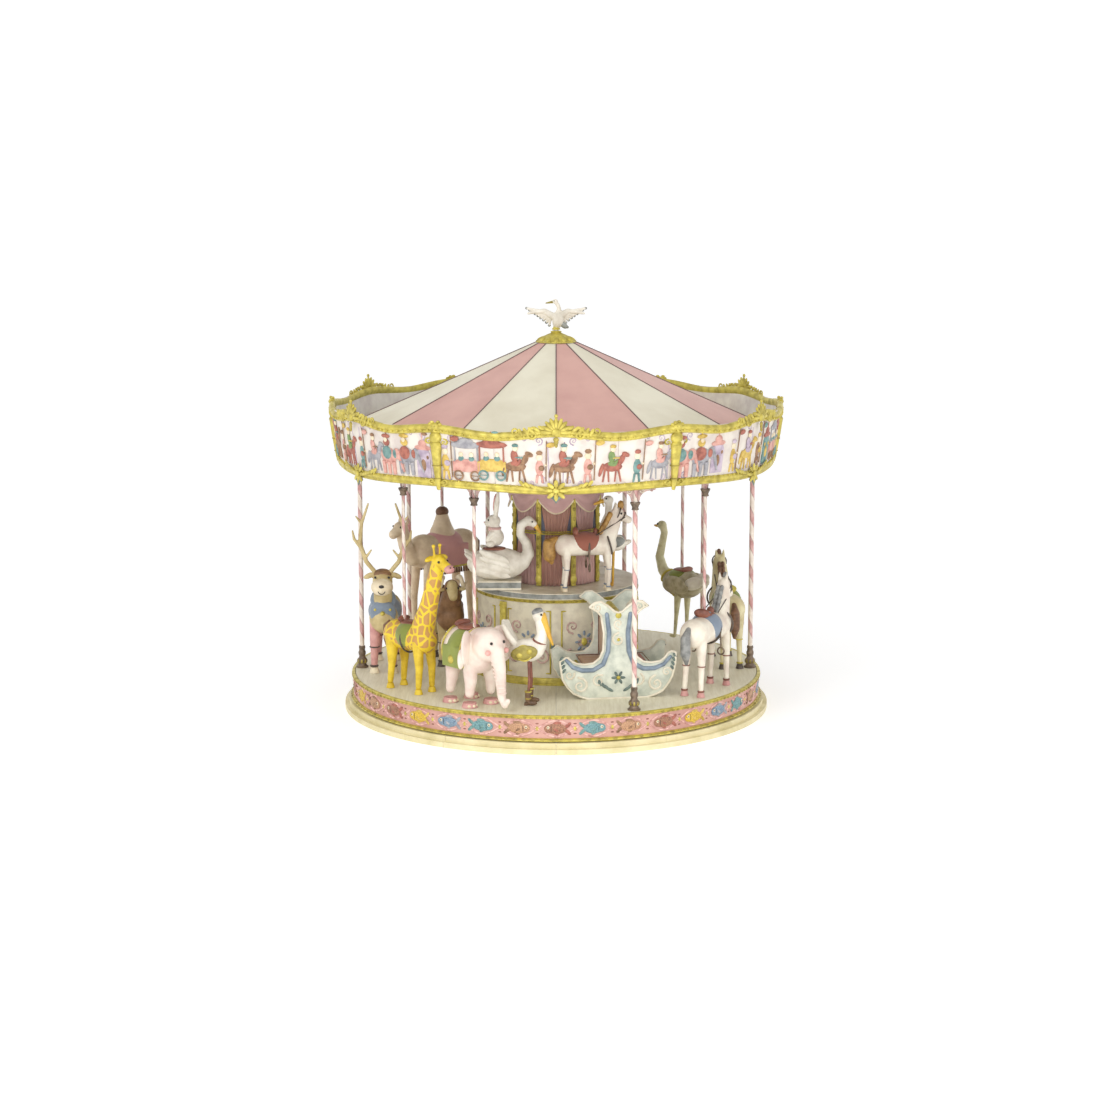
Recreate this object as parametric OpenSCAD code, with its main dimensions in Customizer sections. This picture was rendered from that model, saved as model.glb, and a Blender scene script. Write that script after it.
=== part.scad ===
/* [Deck and plinth] */
// Diameter of the turning deck
deck_d = 6000; // [5000:10:7200]
// Height of the deck's walking surface above the ground
deck_top = 530; // [500:5:660]
// Thickness of the deck panels
deck_thk = 30; // [18:1:40]
// Height of the fixed two-step plinth
plinth_h = 150; // [120:5:170]
// How far the plinth stands out past the deck
plinth_proud = 150; // [80:5:220]
// Depth of the radial deck joists
joist_h = 100; // [80:5:120]
// Number of deck panels, crown panels and canopy gores
bays = 12; // [12:1:12]
// Gap between neighbouring panels of a ring
panel_gap = 4; // [2:0.5:8]

/* [Mast and hub] */
// Outer radius of the fixed centre mast
mast_r = 80; // [60:1:100]
// Wall of the mast tube
mast_wall = 12; // [8:1:20]
// Radial running clearance of shafts in their bores
run_fit = 0.05; // [0.02:0.01:0.1]
// Wall of the turning hub sleeve
hub_wall = 40; // [25:1:60]
// Radius of the hub flanges that carry joists and sweeps
hub_flange_r = 260; // [230:5:320]

/* [Drive and rollers] */
// Radius of the roller track's centre line, on a 6 m deck
track_base = 2500; // [2300:5:2650]
// Radius of a deck roller
roller_r = 110; // [80:1:115]
// Width of a deck roller
roller_w = 60; // [40:1:90]
// Outer radius of the friction drive ring, on a 6 m deck
drive_ring_base = 1500; // [1350:5:1700]
// Radius of the drive tyre
drive_wheel_r = 150; // [110:1:180]

/* [Poles] */
// Radius of the circle on which the outer poles stand, on a 6 m deck
pole_ring_base = 2900; // [2800:5:2940]
// Radius of a standing pole
pole_r = 35; // [25:1:42]
// Radius of the circle of the poles that hold standing animals, on a 6 m deck
rider_ring_base = 2580; // [2570:5:2640]
// Radius of a pole that holds an animal
rider_pole_r = 25; // [20:1:30]

/* [Crown and canopy] */
// Height of the crown's lower edge above the ground
crown_bottom = 3700; // [3400:10:4450]
// Height of the crown between its edges
crown_h = 840; // [700:10:960]
// Inner radius of the crown at its lower edge, on a 6 m deck
crown_base = 3140; // [3110:5:3250]
// How far the crown flares outwards from bottom to top
crown_flare = 120; // [60:5:180]
// Rise of the canopy from its rim to its cap
canopy_rise = 1250; // [1000:10:1500]
// Radius of the canopy's top opening
canopy_top_r = 290; // [250:5:330]

/* [Centre drum] */
// Outer radius of the drum that carries the stage, on a 6 m deck
drum_base = 1180; // [1050:5:1300]
// Height of the stage above the ground
stage_top = 1880; // [1560:10:2050]
// Outer radius of the curtained centre column, on a 6 m deck
column_base = 640; // [560:5:700]

/* [Lifting gear] */
// Radius of the crank throw, half of the animals' stroke
crank_throw = 100; // [70:1:110]
// Radius of the crank shafts
shaft_r = 20; // [15:1:25]
// Radius of the bevel pinions on the crank shafts
pinion_r = 80; // [60:1:95]
// Distance from the mast's axis to the pinions' middle
pinion_seat_r = 250; // [240:5:280]
// Radius of the circle of the two outer lifting poles, on a 6 m deck
lift_ring_base = 2500; // [2300:5:2505]
// Radius of the inner lifting pole's circle, on a 6 m deck
inner_lift_ring_base = 2110; // [2000:5:2160]

/* [Hidden] */
$fn = 96;

base_deck_d = 6000;                           // the deck that the plan sizes above are given for
spread = deck_d / base_deck_d;                 // circles, places and animals grow with the deck
track_r = track_base * spread;
drive_ring_r = drive_ring_base * spread;
pole_ring_r = pole_ring_base * spread;
rider_ring_r = rider_ring_base * spread;
crown_r = crown_base * spread;
drum_r = drum_base * spread;
column_r = column_base * spread;
lift_ring_r = lift_ring_base * spread;
inner_lift_ring_r = inner_lift_ring_base * spread;

seat = 0.3;                                    // gap between a piece and what carries it
beam_bottom = 40;                              // underside of the ground beams
beam_top = 140;
beam_w = 120;
track_thk = 20;
track_top = beam_top + track_thk;
hub_r = mast_r + run_fit + hub_wall;
mast_foot_top = beam_top + 25;
race_top = mast_foot_top + 30;
joist_top = deck_top - deck_thk;
joist_bottom = joist_top - joist_h;
joist_w = 60;
joist_in = 155;
deck_r = deck_d / 2;
deck_panel_r = deck_r - 10;
fascia_in = deck_panel_r - 4;
joist_out = fascia_in - seat;
fascia_thk = 26;
rail_h = 52;                                   // height of the fascia's upper moulding
foot_rail_h = 42;                              // height of its lower moulding
skirt_bottom = plinth_h + 12;
plinth_r = deck_r + plinth_proud;
roller_z = track_top + seat + roller_r;
axle_r = 15;
fork_gap = 4;
fork_thk = 20;
roller_angles = [30, 120, 210, 300];

sweep_bottom = crown_bottom + 20;
sweep_h = 80;
sweep_w = 50;
sweep_top = sweep_bottom + sweep_h;
ring_h = 60;
ring_bottom = sweep_bottom - ring_h;
ring_w = 70;
column_ring_r = column_r + 20;
middle_ring_r = 1710 * spread;
moulding_h = 50;
panel_bottom = crown_bottom + moulding_h;
crown_top = crown_bottom + crown_h;
panel_top = crown_top - moulding_h;
panel_thk = 26;
canopy_thk = 16;
canopy_r = crown_r + 10;
canopy_rim = crown_bottom + 450;
canopy_top = canopy_rim + canopy_rise;
canopy_slope = atan(canopy_rise / (canopy_r - canopy_top_r));
rafter_h = 60;
rafter_w = 40;
mast_top = canopy_top - 150;

shaft_z = crown_bottom + 300;
sun_top = shaft_z - pinion_r - seat;
sun_thk = 45;
sun_r = pinion_seat_r + 20;
lift_angles = [38.7, 82.5, 135];
lift_radii = [lift_ring_r, inner_lift_ring_r, lift_ring_r];
hang_gap = 3;                                  // open pivot between a crank pin and its hanger

stage_thk = 90;
drum_top = stage_top - stage_thk;
drum_breaks = [-50, 0, 50, 130, 180, 230];     // angles of the drum's pilasters

stand_angles = [180, -68, 0, 38, 68, 112, 142];
rider_angles = [-147.5, -116.2, -34.8];
giraffe_back = 1000;                           // heights of the animals' backs
giraffe_girth = 225;                           // and half the depths of their bodies
elephant_back = 1080;
elephant_girth = 320;
horse_back = 1120;
horse_girth = 220;
ostrich_belly = 855;
ostrich_girth = 230;
camel_hump = 2040;
lift_height = 120;                             // height of the lifted animals' feet at rest

// ---------- helpers ----------

ball_cut = cos(22.5);                          // an eight-sided ball is flat on top at this share of r

// Height at which a pole meets the back of an animal
function saddle(back, girth) = spread * (back - girth * (1 - ball_cut)) + seat;

function gap_deg(r) = panel_gap / r * 180 / PI;

// A ring of separate segments; the child is the section, x outwards and y up
module ring(count, r, first = 0) {
  for (k = [0 : count - 1])
    rotate(first + k * 360 / count + gap_deg(r) / 2)
      rotate_extrude(angle = 360 / count - gap_deg(r), $fn = 144)
        children();
}

module around(count, first = 0) {
  for (k = [0 : count - 1])
    rotate(first + k * 360 / count) children();
}

module box_section(r_in, r_out, bottom, top) {
  polygon([[r_in, bottom], [r_out, bottom], [r_out, top], [r_in, top]]);
}

// A limb that tapers between two round ends
module limb(a, ra, b, rb) {
  hull() {
    translate(a) sphere(ra, $fn = 8);
    translate(b) sphere(rb, $fn = 8);
  }
}

// A leg with a flat hoof that stands on z = 0
module leg(top, r, foot_x, foot_y, hoof_r) {
  hull() {
    translate(top) sphere(r, $fn = 8);
    translate([foot_x, foot_y, seat]) cylinder(h = hoof_r, r = hoof_r, $fn = 8);
  }
}

// Four-legged animal that heads along +X and stands on z = 0
module quadruped(long, back, girth, hoof, neck, neck_r, head_r, muzzle, muzzle_r, tail) {
  reach = long / 2 - girth;
  belly = back - girth;
  limb([-reach, 0, belly], girth, [reach, 0, belly], girth);
  for (sx = [-1, 1], sy = [-1, 1])
    leg([sx * reach * 1.05, sy * girth * 0.5, belly - girth * 0.2], girth * 0.42,
        sx * (reach * 1.05 + hoof * 0.4), sy * girth * 0.62, hoof);
  limb([reach * 1.05, 0, belly + girth * 0.3], neck_r * 1.35, neck, neck_r);
  limb(neck, head_r, muzzle, muzzle_r);
  limb([-reach - girth * 0.7, 0, belly + girth * 0.4], girth * 0.2, tail, girth * 0.22);
}

module at_place(x, y, heading, z = deck_top) {
  translate([x * spread, y * spread, z]) rotate(heading) scale(spread) children();
}

// ---------- base, fixed to the ground ----------

module plinth_ring() {
  step_h = plinth_h / 2;
  color("#dcd3a0") ring(bays, plinth_r)
    polygon([[plinth_in, 0], [plinth_r, 0], [plinth_r, step_h],
             [plinth_r - 60, step_h], [plinth_r - 60, plinth_h], [plinth_in, plinth_h]]);
}

foot_r = 80;
anchor_r = 11;                                 // holes for the ground anchors
anchor_ring_r = 1200;
outer_foot_r = 2350 * spread;
beam_in = 300 + seat;
plinth_in = plinth_r - 400;
beam_out = sqrt(pow(plinth_in, 2) - pow(beam_w / 2, 2)) - seat;

module ground_beams() {
  color("#7d8791") {
    translate([0, 0, beam_bottom]) cylinder(h = beam_top - beam_bottom, r = 300);
    around(6) difference() {
      translate([beam_in, -beam_w / 2, beam_bottom])
        cube([beam_out - beam_in, beam_w, beam_top - beam_bottom]);
      translate([anchor_ring_r, 0, 0]) cylinder(h = beam_top + 1, r = anchor_r);
    }
  }
}

module levelling_feet() {
  color("#555b60") around(6) {
    difference() {
      translate([anchor_ring_r, 0, 0]) cylinder(h = beam_bottom, r = foot_r);
      translate([anchor_ring_r, 0, -1]) cylinder(h = beam_bottom + 2, r = anchor_r);
    }
    translate([outer_foot_r, 0, 0]) cylinder(h = beam_bottom, r = foot_r);
  }
}

module roller_track() {
  color("#9aa0a6") ring(bays, track_r)
    box_section(track_r - roller_w, track_r + roller_w, beam_top, track_top);
}

module mast() {
  color("#8d949b") rotate_extrude()
    polygon([[mast_r - mast_wall, beam_top], [200, beam_top], [200, mast_foot_top],
             [mast_r, mast_foot_top], [mast_r, mast_top], [mast_r - mast_wall, mast_top]]);
}

module lower_thrust_race() {
  color("#c9cdd2") rotate_extrude()
    box_section(mast_r + run_fit, hub_r + 20, mast_foot_top, race_top);
}

// Fixed to the mast; its smooth upper face stands for the bevel teeth
module sun_gear() {
  color("#b9bec4") rotate_extrude()
    box_section(mast_r + run_fit, sun_r, sun_top - sun_thk, sun_top);
}

drive_x = drive_ring_r + seat + drive_wheel_r;
drive_w = 80;
drive_bottom = joist_bottom - 10 - drive_w;
gear_case = 200;
gear_case_top = drive_bottom - 40;
motor_r = 70;
motor_len = 380;
drive_shaft_r = 20;

module gear_motor() {
  case_h = gear_case_top - beam_top;
  color("#4f6b5c") difference() {
    union() {
      translate([drive_x - gear_case / 2, -gear_case / 2, beam_top])
        cube([gear_case, gear_case, case_h]);
      translate([drive_x + gear_case / 2 - 10, 0, beam_top + motor_r + 5])
        rotate([0, 90, 0]) cylinder(h = motor_len, r = motor_r);
    }
    translate([drive_x, 0, beam_top + 20]) cylinder(h = case_h, r = drive_shaft_r + run_fit);
  }
}

// ---------- turning frame ----------

module hub_sleeve() {
  relief = mast_r + 12;
  bush_h = 160;
  bottom = race_top + seat;
  flange_thk = 20;
  color("#9aa3ab") rotate_extrude()
    polygon([[mast_r + run_fit, bottom], [hub_r, bottom],
             [hub_r, joist_bottom - flange_thk], [hub_flange_r, joist_bottom - flange_thk],
             [hub_flange_r, joist_bottom], [hub_r, joist_bottom],
             [hub_r, sweep_bottom - flange_thk], [hub_flange_r, sweep_bottom - flange_thk],
             [hub_flange_r, sweep_bottom], [mast_r + run_fit, sweep_bottom],
             [mast_r + run_fit, sweep_bottom - bush_h], [relief, sweep_bottom - bush_h],
             [relief, bottom + bush_h], [mast_r + run_fit, bottom + bush_h]]);
}

module joist() {
  translate([joist_in, -joist_w / 2, joist_bottom])
    cube([joist_out - joist_in, joist_w, joist_h]);
}

// Two plates under a joist with the bore for a roller's axle
module roller_fork() {
  drop = joist_bottom - roller_z + 40;
  difference() {
    union() {
      joist();
      for (side = [-1, 1])
        translate([track_r + side * (roller_w / 2 + fork_gap + fork_thk / 2) - fork_thk / 2,
                   -joist_w / 2, joist_bottom - drop])
          cube([fork_thk, joist_w, drop]);
    }
    translate([track_r - roller_w, 0, roller_z])
      rotate([0, 90, 0]) cylinder(h = 2 * roller_w, r = axle_r + run_fit);
  }
}

module deck_joists() {
  color("#8a9096") for (k = [0 : bays - 1]) {
    angle = k * 360 / bays;
    rotate(angle)
      if (len(search(angle, roller_angles)) > 0) roller_fork();
      else joist();
  }
}

module deck_panels() {
  color("#e6ddc0") ring(bays, deck_panel_r)
    box_section(joist_in, deck_panel_r, joist_top, deck_top);
}

module fascia_panels() {
  color("#c8968c") ring(bays, deck_r)
    box_section(fascia_in, fascia_in + fascia_thk, skirt_bottom + foot_rail_h + seat,
                deck_top - rail_h - seat);
}

module fascia_mouldings() {
  rail_bottom = deck_top - rail_h;
  rail_in = deck_panel_r + seat;
  foot_top = skirt_bottom + foot_rail_h;
  color("#b9a63a") {
    ring(bays, deck_r)
      polygon([[rail_in, rail_bottom], [deck_r + 32, rail_bottom], [deck_r + 44, rail_bottom + 14],
               [deck_r + 44, deck_top - 14], [deck_r + 30, deck_top], [rail_in, deck_top]]);
    ring(bays, deck_r)
      polygon([[fascia_in, skirt_bottom], [deck_r + 60, skirt_bottom],
               [deck_r + 60, skirt_bottom + 12], [deck_r + 36, foot_top],
               [fascia_in, foot_top]]);
  }
}

module drive_ring() {
  color("#8d949b") ring(bays, drive_ring_r, 180 / bays)
    box_section(drive_ring_r - 30, drive_ring_r, drive_bottom - 10, joist_bottom);
}

// ---------- centre drum, stage and curtained column ----------

drum_thk = 30;
drum_foot_h = 90;
drum_rail_h = 50;

module drum_panels() {
  color("#d9cfbd") for (k = [0 : len(drum_breaks) - 1]) {
    from = drum_breaks[k];
    to = k < len(drum_breaks) - 1 ? drum_breaks[k + 1] : drum_breaks[0] + 360;
    gap = gap_deg(drum_r);
    rotate(from + gap / 2) rotate_extrude(angle = to - from - gap, $fn = 144)
      box_section(drum_r - drum_thk, drum_r, deck_top, drum_top - drum_rail_h);
  }
}

module drum_mouldings() {
  color("#b9a63a") {
    ring(bays, drum_r)
      polygon([[drum_r - 40, drum_top - drum_rail_h + seat], [drum_r + 20, drum_top - drum_rail_h + seat],
               [drum_r + 45, drum_top], [drum_r - 40, drum_top]]);
    ring(bays, drum_r)
      polygon([[drum_r + seat, deck_top], [drum_r + 60, deck_top], [drum_r + 60, deck_top + 40],
               [drum_r + 25, deck_top + drum_foot_h], [drum_r + seat, deck_top + drum_foot_h]]);
    for (angle = drum_breaks) rotate(angle)
      translate([drum_r + seat, -55, deck_top + drum_foot_h + seat])
        cube([45, 110, drum_top - drum_rail_h - deck_top - drum_foot_h - 2 * seat]);
  }
}

module stage_slab() {
  color("#ded5bd") ring(6, drum_r)
    box_section(column_r - 80, drum_r + 30, drum_top + seat, stage_top - seat);
}

column_panels = 8;
curtain_thk = 40;

module curtains() {
  color("#96695f") ring(column_panels, column_r)
    box_section(column_r - curtain_thk, column_r, stage_top, ring_bottom);
}

module column_pilasters() {
  color("#a8862e") around(column_panels, 180 / column_panels)
    translate([column_r + seat, -35, stage_top])
      cube([40, 70, ring_bottom - stage_top]);
}

valance_h = 260;

module valance() {
  drop = 60;                                   // the valance hangs below the ring beam
  color("#b08a8c") ring(column_panels, column_r, 180 / column_panels)
    box_section(column_r + 42, column_r + 72, ring_bottom - drop - valance_h, ring_bottom - drop);
}

// ---------- poles ----------

function ring_point(r, angle) = [r * cos(angle), r * sin(angle), 0];

module poles() {
  backs = [saddle(giraffe_back, giraffe_girth), saddle(elephant_back, elephant_girth),
           saddle(horse_back, horse_girth)];
  color("#cc9b94") {
    for (angle = stand_angles) translate(ring_point(pole_ring_r, angle) + [0, 0, deck_top])
      cylinder(h = ring_bottom - deck_top, r = pole_r);
    for (k = [0 : 2]) translate(ring_point(rider_ring_r, rider_angles[k]) + [0, 0, deck_top + backs[k]])
      cylinder(h = ring_bottom - deck_top - backs[k], r = rider_pole_r);
  }
}

capital_h = 110;
capital_top = ring_bottom - 200;

module capital(r) {
  rotate_extrude() polygon([[r, 0], [r + 14, 0], [r + 10, 30], [r + 34, capital_h - 20],
                            [r + 34, capital_h], [r, capital_h]]);
}

module pole_foot(r) {
  rotate_extrude() polygon([[r, 0], [r + 55, 0], [r + 55, 25], [r + 30, 60], [r + 38, 120],
                            [r + 12, 180], [r + 20, 260], [r + 8, 330], [r, 330]]);
}

module pole_fittings() {
  color("#6b5f52") {
    for (angle = stand_angles) translate(ring_point(pole_ring_r, angle)) {
      translate([0, 0, deck_top]) pole_foot(pole_r + seat);
      translate([0, 0, capital_top - capital_h]) capital(pole_r + seat);
    }
    for (angle = rider_angles) translate(ring_point(rider_ring_r, angle))
      translate([0, 0, capital_top - capital_h]) capital(rider_pole_r + seat);
  }
}

// Carved bracket on both sides of a pole, with a round arch cut from each
module spandrel(r) {
  span = 300;
  rise = ring_bottom - capital_top - 2 * seat;
  thk = 30;
  for (side = [0, 1]) mirror([0, side, 0])
    translate([thk / 2, r, 0]) rotate([90, 0, -90]) linear_extrude(thk)
      difference() {
        mirror([1, 0]) square([span, rise]);
        translate([-span, 0]) circle(rise * 0.94);
        translate([-span - 1, -1]) square([span * 0.4, rise * 0.86]);
      }
}

module spandrels() {
  color("#b99a94") {
    for (angle = stand_angles)
      rotate(angle) translate([pole_ring_r, 0, capital_top + seat]) spandrel(pole_r + seat);
    for (angle = rider_angles)
      rotate(angle) translate([rider_ring_r, 0, capital_top + seat]) spandrel(rider_pole_r + seat);
  }
}

// ---------- crown and canopy ----------

module crown_frame() {
  color("#a9adb0") {
    around(bays) translate([hub_r + 5, -sweep_w / 2, sweep_bottom])
      cube([crown_r - hub_r - 5 - seat, sweep_w, sweep_h]);
    for (r = [column_ring_r, middle_ring_r, rider_ring_r, pole_ring_r])
      ring(bays, r, 180 / bays)
        box_section(r - ring_w / 2, r + ring_w / 2, ring_bottom, sweep_bottom - seat);
  }
}

function crown_in(z) = crown_r + crown_flare * (z - crown_bottom) / crown_h;

module crown_panels() {
  bottom_in = crown_in(panel_bottom) + 5;
  top_in = crown_in(panel_top) + 5;
  color("#e3dcd2") ring(bays, crown_r, 180 / bays)
    polygon([[bottom_in, panel_bottom + seat], [bottom_in + panel_thk, panel_bottom + seat],
             [top_in + panel_thk, panel_top - seat], [top_in, panel_top - seat]]);
}

module crown_mouldings() {
  top_in = crown_in(panel_top) - 10;
  color("#b9a63a") {
    ring(bays, crown_r, 180 / bays)
      polygon([[crown_r, crown_bottom], [crown_r + 35, crown_bottom],
               [crown_r + 60, crown_bottom + 25], [crown_r + 50, panel_bottom],
               [crown_r, panel_bottom]]);
    ring(bays, crown_r, 180 / bays)
      polygon([[top_in, panel_top], [top_in + 55, panel_top], [top_in + 72, panel_top + 20],
               [top_in + 50, crown_top], [top_in, crown_top]]);
  }
}

ornament_out = crown_r + crown_flare + 100;    // outer radius that crests and terms reach
lower_face = crown_r + 60 + seat;              // outermost line of the lower moulding
upper_face = crown_in(panel_top) + 62 + seat;  // and of the upper one

// Shell crest over a leaf cluster, on the outside of the crown
module crest() {
  translate([upper_face, 0, panel_top + 40]) rotate([0, 90, 0])
    cylinder(h = ornament_out - upper_face, r = 150);
  translate([lower_face, 0, crown_bottom - 20]) rotate([0, 90, 0]) cylinder(h = 60, r = 110);
}

// Upright figure standing in front of the crown between two crests
module term() {
  foot = crown_bottom - 60;
  head = crown_top + 100;
  translate([0, 65, 0]) rotate([90, 0, 0]) linear_extrude(130)
    polygon([[lower_face, foot], [lower_face + 45, foot], [ornament_out, panel_top],
             [ornament_out, head], [upper_face, head], [upper_face, panel_top - 10]]);
}

module crown_ornaments() {
  color("#c2ad3c") {
    around(6, 30) crest();
    around(6) term();
  }
}

apex_r = canopy_top_r * cos(180 / bays) - 6;

// Rafter and the post under its outer end, cut from one plate
module rafters() {
  hip_drop = rafter_w / 2 * tan(180 / bays) * tan(canopy_slope);
  under = canopy_thk / cos(canopy_slope) + hip_drop + seat;
  depth = rafter_h / cos(canopy_slope);
  apex_x = apex_r + seat;
  post_x = canopy_r - 140;
  post_w = 40;
  function top_at(x) = canopy_rim - under + (canopy_r - x) * tan(canopy_slope);
  color("#b5a98f") around(bays)
    translate([0, rafter_w / 2, 0]) rotate([90, 0, 0]) linear_extrude(rafter_w)
      polygon([[canopy_r, top_at(canopy_r)], [apex_x, top_at(apex_x)],
               [apex_x, top_at(apex_x) - depth], [post_x, top_at(post_x) - depth],
               [post_x, sweep_top + seat], [post_x + post_w, sweep_top + seat],
               [post_x + post_w, top_at(post_x + post_w) - depth],
               [canopy_r, top_at(canopy_r) - depth]]);
}

hub_cap_h = 190;

module apex_hub() {
  color("#9aa3ab") difference() {
    translate([0, 0, canopy_top - hub_cap_h])
      cylinder(h = hub_cap_h - 5, r = apex_r);
    translate([0, 0, canopy_top - hub_cap_h - 1])
      cylinder(h = mast_top - canopy_top + hub_cap_h + 6, r = mast_r + run_fit);
  }
}

// One flat gore to each bay
module canopy() {
  drop = canopy_thk / cos(canopy_slope);
  side_gap = 0.12;                             // degrees between gores
  color("#d2a095") for (k = [0 : bays - 1])
    rotate(k * 360 / bays + side_gap / 2)
      rotate_extrude(angle = 360 / bays - side_gap, $fn = 12)
        polygon([[canopy_r, canopy_rim], [canopy_r, canopy_rim - drop],
                 [canopy_top_r, canopy_top - drop], [canopy_top_r, canopy_top]]);
}

cap_h = 130;
cap_neck_h = 40;

module canopy_cap() {
  base = canopy_top + seat;
  r = canopy_top_r + 10;
  color("#b9a63a") rotate_extrude()
    polygon([[0, base], [r, base], [r, base + 20], [r * 0.8, base + 40],
             [r * 0.7, base + 75], [r * 0.35, base + 110], [70, base + cap_h],
             [90, base + cap_h + 15], [60, base + cap_h + cap_neck_h], [0, base + cap_h + cap_neck_h]]);
}

// Long-billed bird with raised wings, heading +X
module finial_bird() {
  foot = canopy_top + cap_h + cap_neck_h + 2 * seat;
  color("#e8e3d4") translate([0, 0, foot]) {
    cylinder(h = 75, r = 45, $fn = 24);
    limb([-70, 0, 110], 60, [60, 0, 130], 85);
    limb([90, 0, 170], 50, [60, 0, 330], 32);
    limb([60, 0, 340], 32, [-10, 0, 430], 34);
    limb([-20, 0, 440], 36, [-170, 0, 395], 14);
    for (side = [-1, 1]) hull() {
      translate([0, side * 60, 130]) sphere(40, $fn = 8);
      translate([-10, side * 400, 240]) sphere(22, $fn = 8);
      translate([-60, side * 260, 150]) sphere(20, $fn = 8);
    }
    limb([-60, 0, 100], 45, [-190, 0, 50], 25);
  }
}

// ---------- lifting gear ----------

module crank_bearing_block(r) {
  difference() {
    translate([r - 30, -40, sweep_bottom]) cube([60, 80, shaft_z - sweep_bottom + 50]);
    translate([r - 40, 0, shaft_z]) rotate([0, 90, 0]) cylinder(h = 80, r = shaft_r + run_fit);
  }
}

// Bar across two ring beams with the guide bore for a pole and the outer shaft bearing
module pole_guide(r) {
  from = middle_ring_r;
  to = rider_ring_r;
  bar_thk = 40;
  difference() {
    union() {
      translate([from - ring_w / 2, -60, sweep_bottom]) cube([to - from + ring_w, 120, bar_thk]);
      translate([r - 190, -40, sweep_bottom]) cube([40, 80, shaft_z - sweep_bottom + 50]);
    }
    translate([r, 0, sweep_bottom - 1]) cylinder(h = bar_thk + 2, r = rider_pole_r + run_fit);
    translate([r - 200, 0, shaft_z]) rotate([0, 90, 0]) cylinder(h = 60, r = shaft_r + run_fit);
  }
}

module crank_bearings() {
  color("#7d8791") for (k = [0 : 2]) rotate(lift_angles[k]) {
    crank_bearing_block(column_ring_r);
    pole_guide(lift_radii[k]);
  }
}

// Shaft with its pinion at the mast and its crank disc and pin at the pole
module crank(k) {
  r = lift_radii[k];
  disc_thk = 30;
  color("#8d949b") rotate(lift_angles[k]) translate([0, 0, shaft_z]) {
    rotate([0, 90, 0]) translate([0, 0, pinion_seat_r - 20])
      cylinder(h = r - 110 - pinion_seat_r + 20, r = shaft_r);
    translate([pinion_seat_r - 20, 0, 0]) rotate([0, 90, 0]) cylinder(h = 40, r = pinion_r);
    translate([r - 110 - disc_thk, 0, 0]) rotate([0, 90, 0]) cylinder(h = disc_thk, r = crank_throw + 25);
    translate([r - 110 - 1, 0, -crank_throw]) rotate([0, 90, 0])
      cylinder(h = 70 + 1 - hang_gap, r = 15);
  }
}

module lifting_pole(k, back) {
  r = lift_radii[k];
  head_z = shaft_z - crank_throw;
  foot_z = deck_top + lift_height + back;
  color("#cc9b94") rotate(lift_angles[k]) translate([r, 0, 0]) {
    translate([0, 0, foot_z]) cylinder(h = head_z - foot_z, r = rider_pole_r);
    translate([-40, -35, head_z - 35]) cube([70, 70, 70]);
  }
}

// ---------- animals and carriages; each heads along +X and stands on z = 0 ----------

module antler(side) {
  limb([470, side * 90, 1490], 34, [440, side * 330, 1900], 28);
  limb([440, side * 330, 1900], 28, [470, side * 260, 2560], 18);
  limb([440, side * 330, 1900], 24, [520, side * 440, 2160], 16);
}

module reindeer() {
  color("#bca96c") at_place(-2550, 50, -90) {
    quadruped(1250, 1060, 235, 75, [500, 0, 1350], 140, 180, [640, 0, 1350], 160, [-640, 0, 1000]);
    antler(-1);
    antler(1);
  }
}

module giraffe() {
  color("#d4b41c") at_place(-2087, -1459, -45) {
    quadruped(1100, giraffe_back, giraffe_girth, 70, [600, 0, 1940], 95, 125, [830, 0, 1880], 85, [-560, 0, 500]);
    for (side = [-1, 1]) limb([580, side * 60, 2000], 22, [560, side * 75, 2180], 26);
  }
}

module elephant() {
  color("#ddccb8") at_place(-1204, -2237, -50) {
    quadruped(960, elephant_back, elephant_girth, 105,
              [400, 0, 800], 150, 270, [430, 0, 740], 230, [-470, 0, 560]);
    limb([570, 0, 640], 110, [630, 0, 240], 70);
    limb([630, 0, 240], 70, [700, 0, 90], 60);
    for (side = [-1, 1]) hull() {
      translate([290, side * 230, 950]) sphere(70, $fn = 8);
      translate([260, side * 430, 700]) sphere(60, $fn = 8);
      translate([360, side * 290, 560]) sphere(60, $fn = 8);
    }
  }
}

module stork() {
  color("#ddd6c2") at_place(-360, -2330, -10) {
    limb([-170, 0, 720], 170, [80, 0, 780], 190);
    limb([120, 0, 860], 110, [110, 0, 1250], 85);
    limb([110, 0, 1250], 105, [300, 0, 850], 45);
    hull() {
      translate([-200, 0, 780]) sphere(70, $fn = 8);
      translate([-400, 150, 1150]) sphere(60, $fn = 8);
      translate([-400, -150, 1150]) sphere(60, $fn = 8);
    }
    for (side = [-1, 1]) leg([-30, side * 90, 600], 45, -20, side * 110, 75);
  }
}

module white_horse() {
  color("#dfd8c4") at_place(2150, -1500, 62)
    quadruped(1260, horse_back, horse_girth, 62,
              [600, 0, 1450], 110, 130, [820, 0, 1290], 75, [-640, 0, 620]);
}

module palomino_horse() {
  color("#c8b987") at_place(2560, 330, 97)
    quadruped(1260, horse_back, horse_girth, 62, [560, 0, 1500], 130, 150, [760, 0, 1340], 80, [-640, 0, 620]);
}

module ram() {
  color("#8a7358") at_place(-1640, 420, -80) {
    quadruped(1050, 980, 230, 62, [430, 0, 1200], 150, 190, [600, 0, 1080], 90, [-540, 0, 800]);
    for (side = [-1, 1]) limb([420, side * 180, 1330], 70, [470, side * 260, 1150], 60);
  }
}

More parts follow.
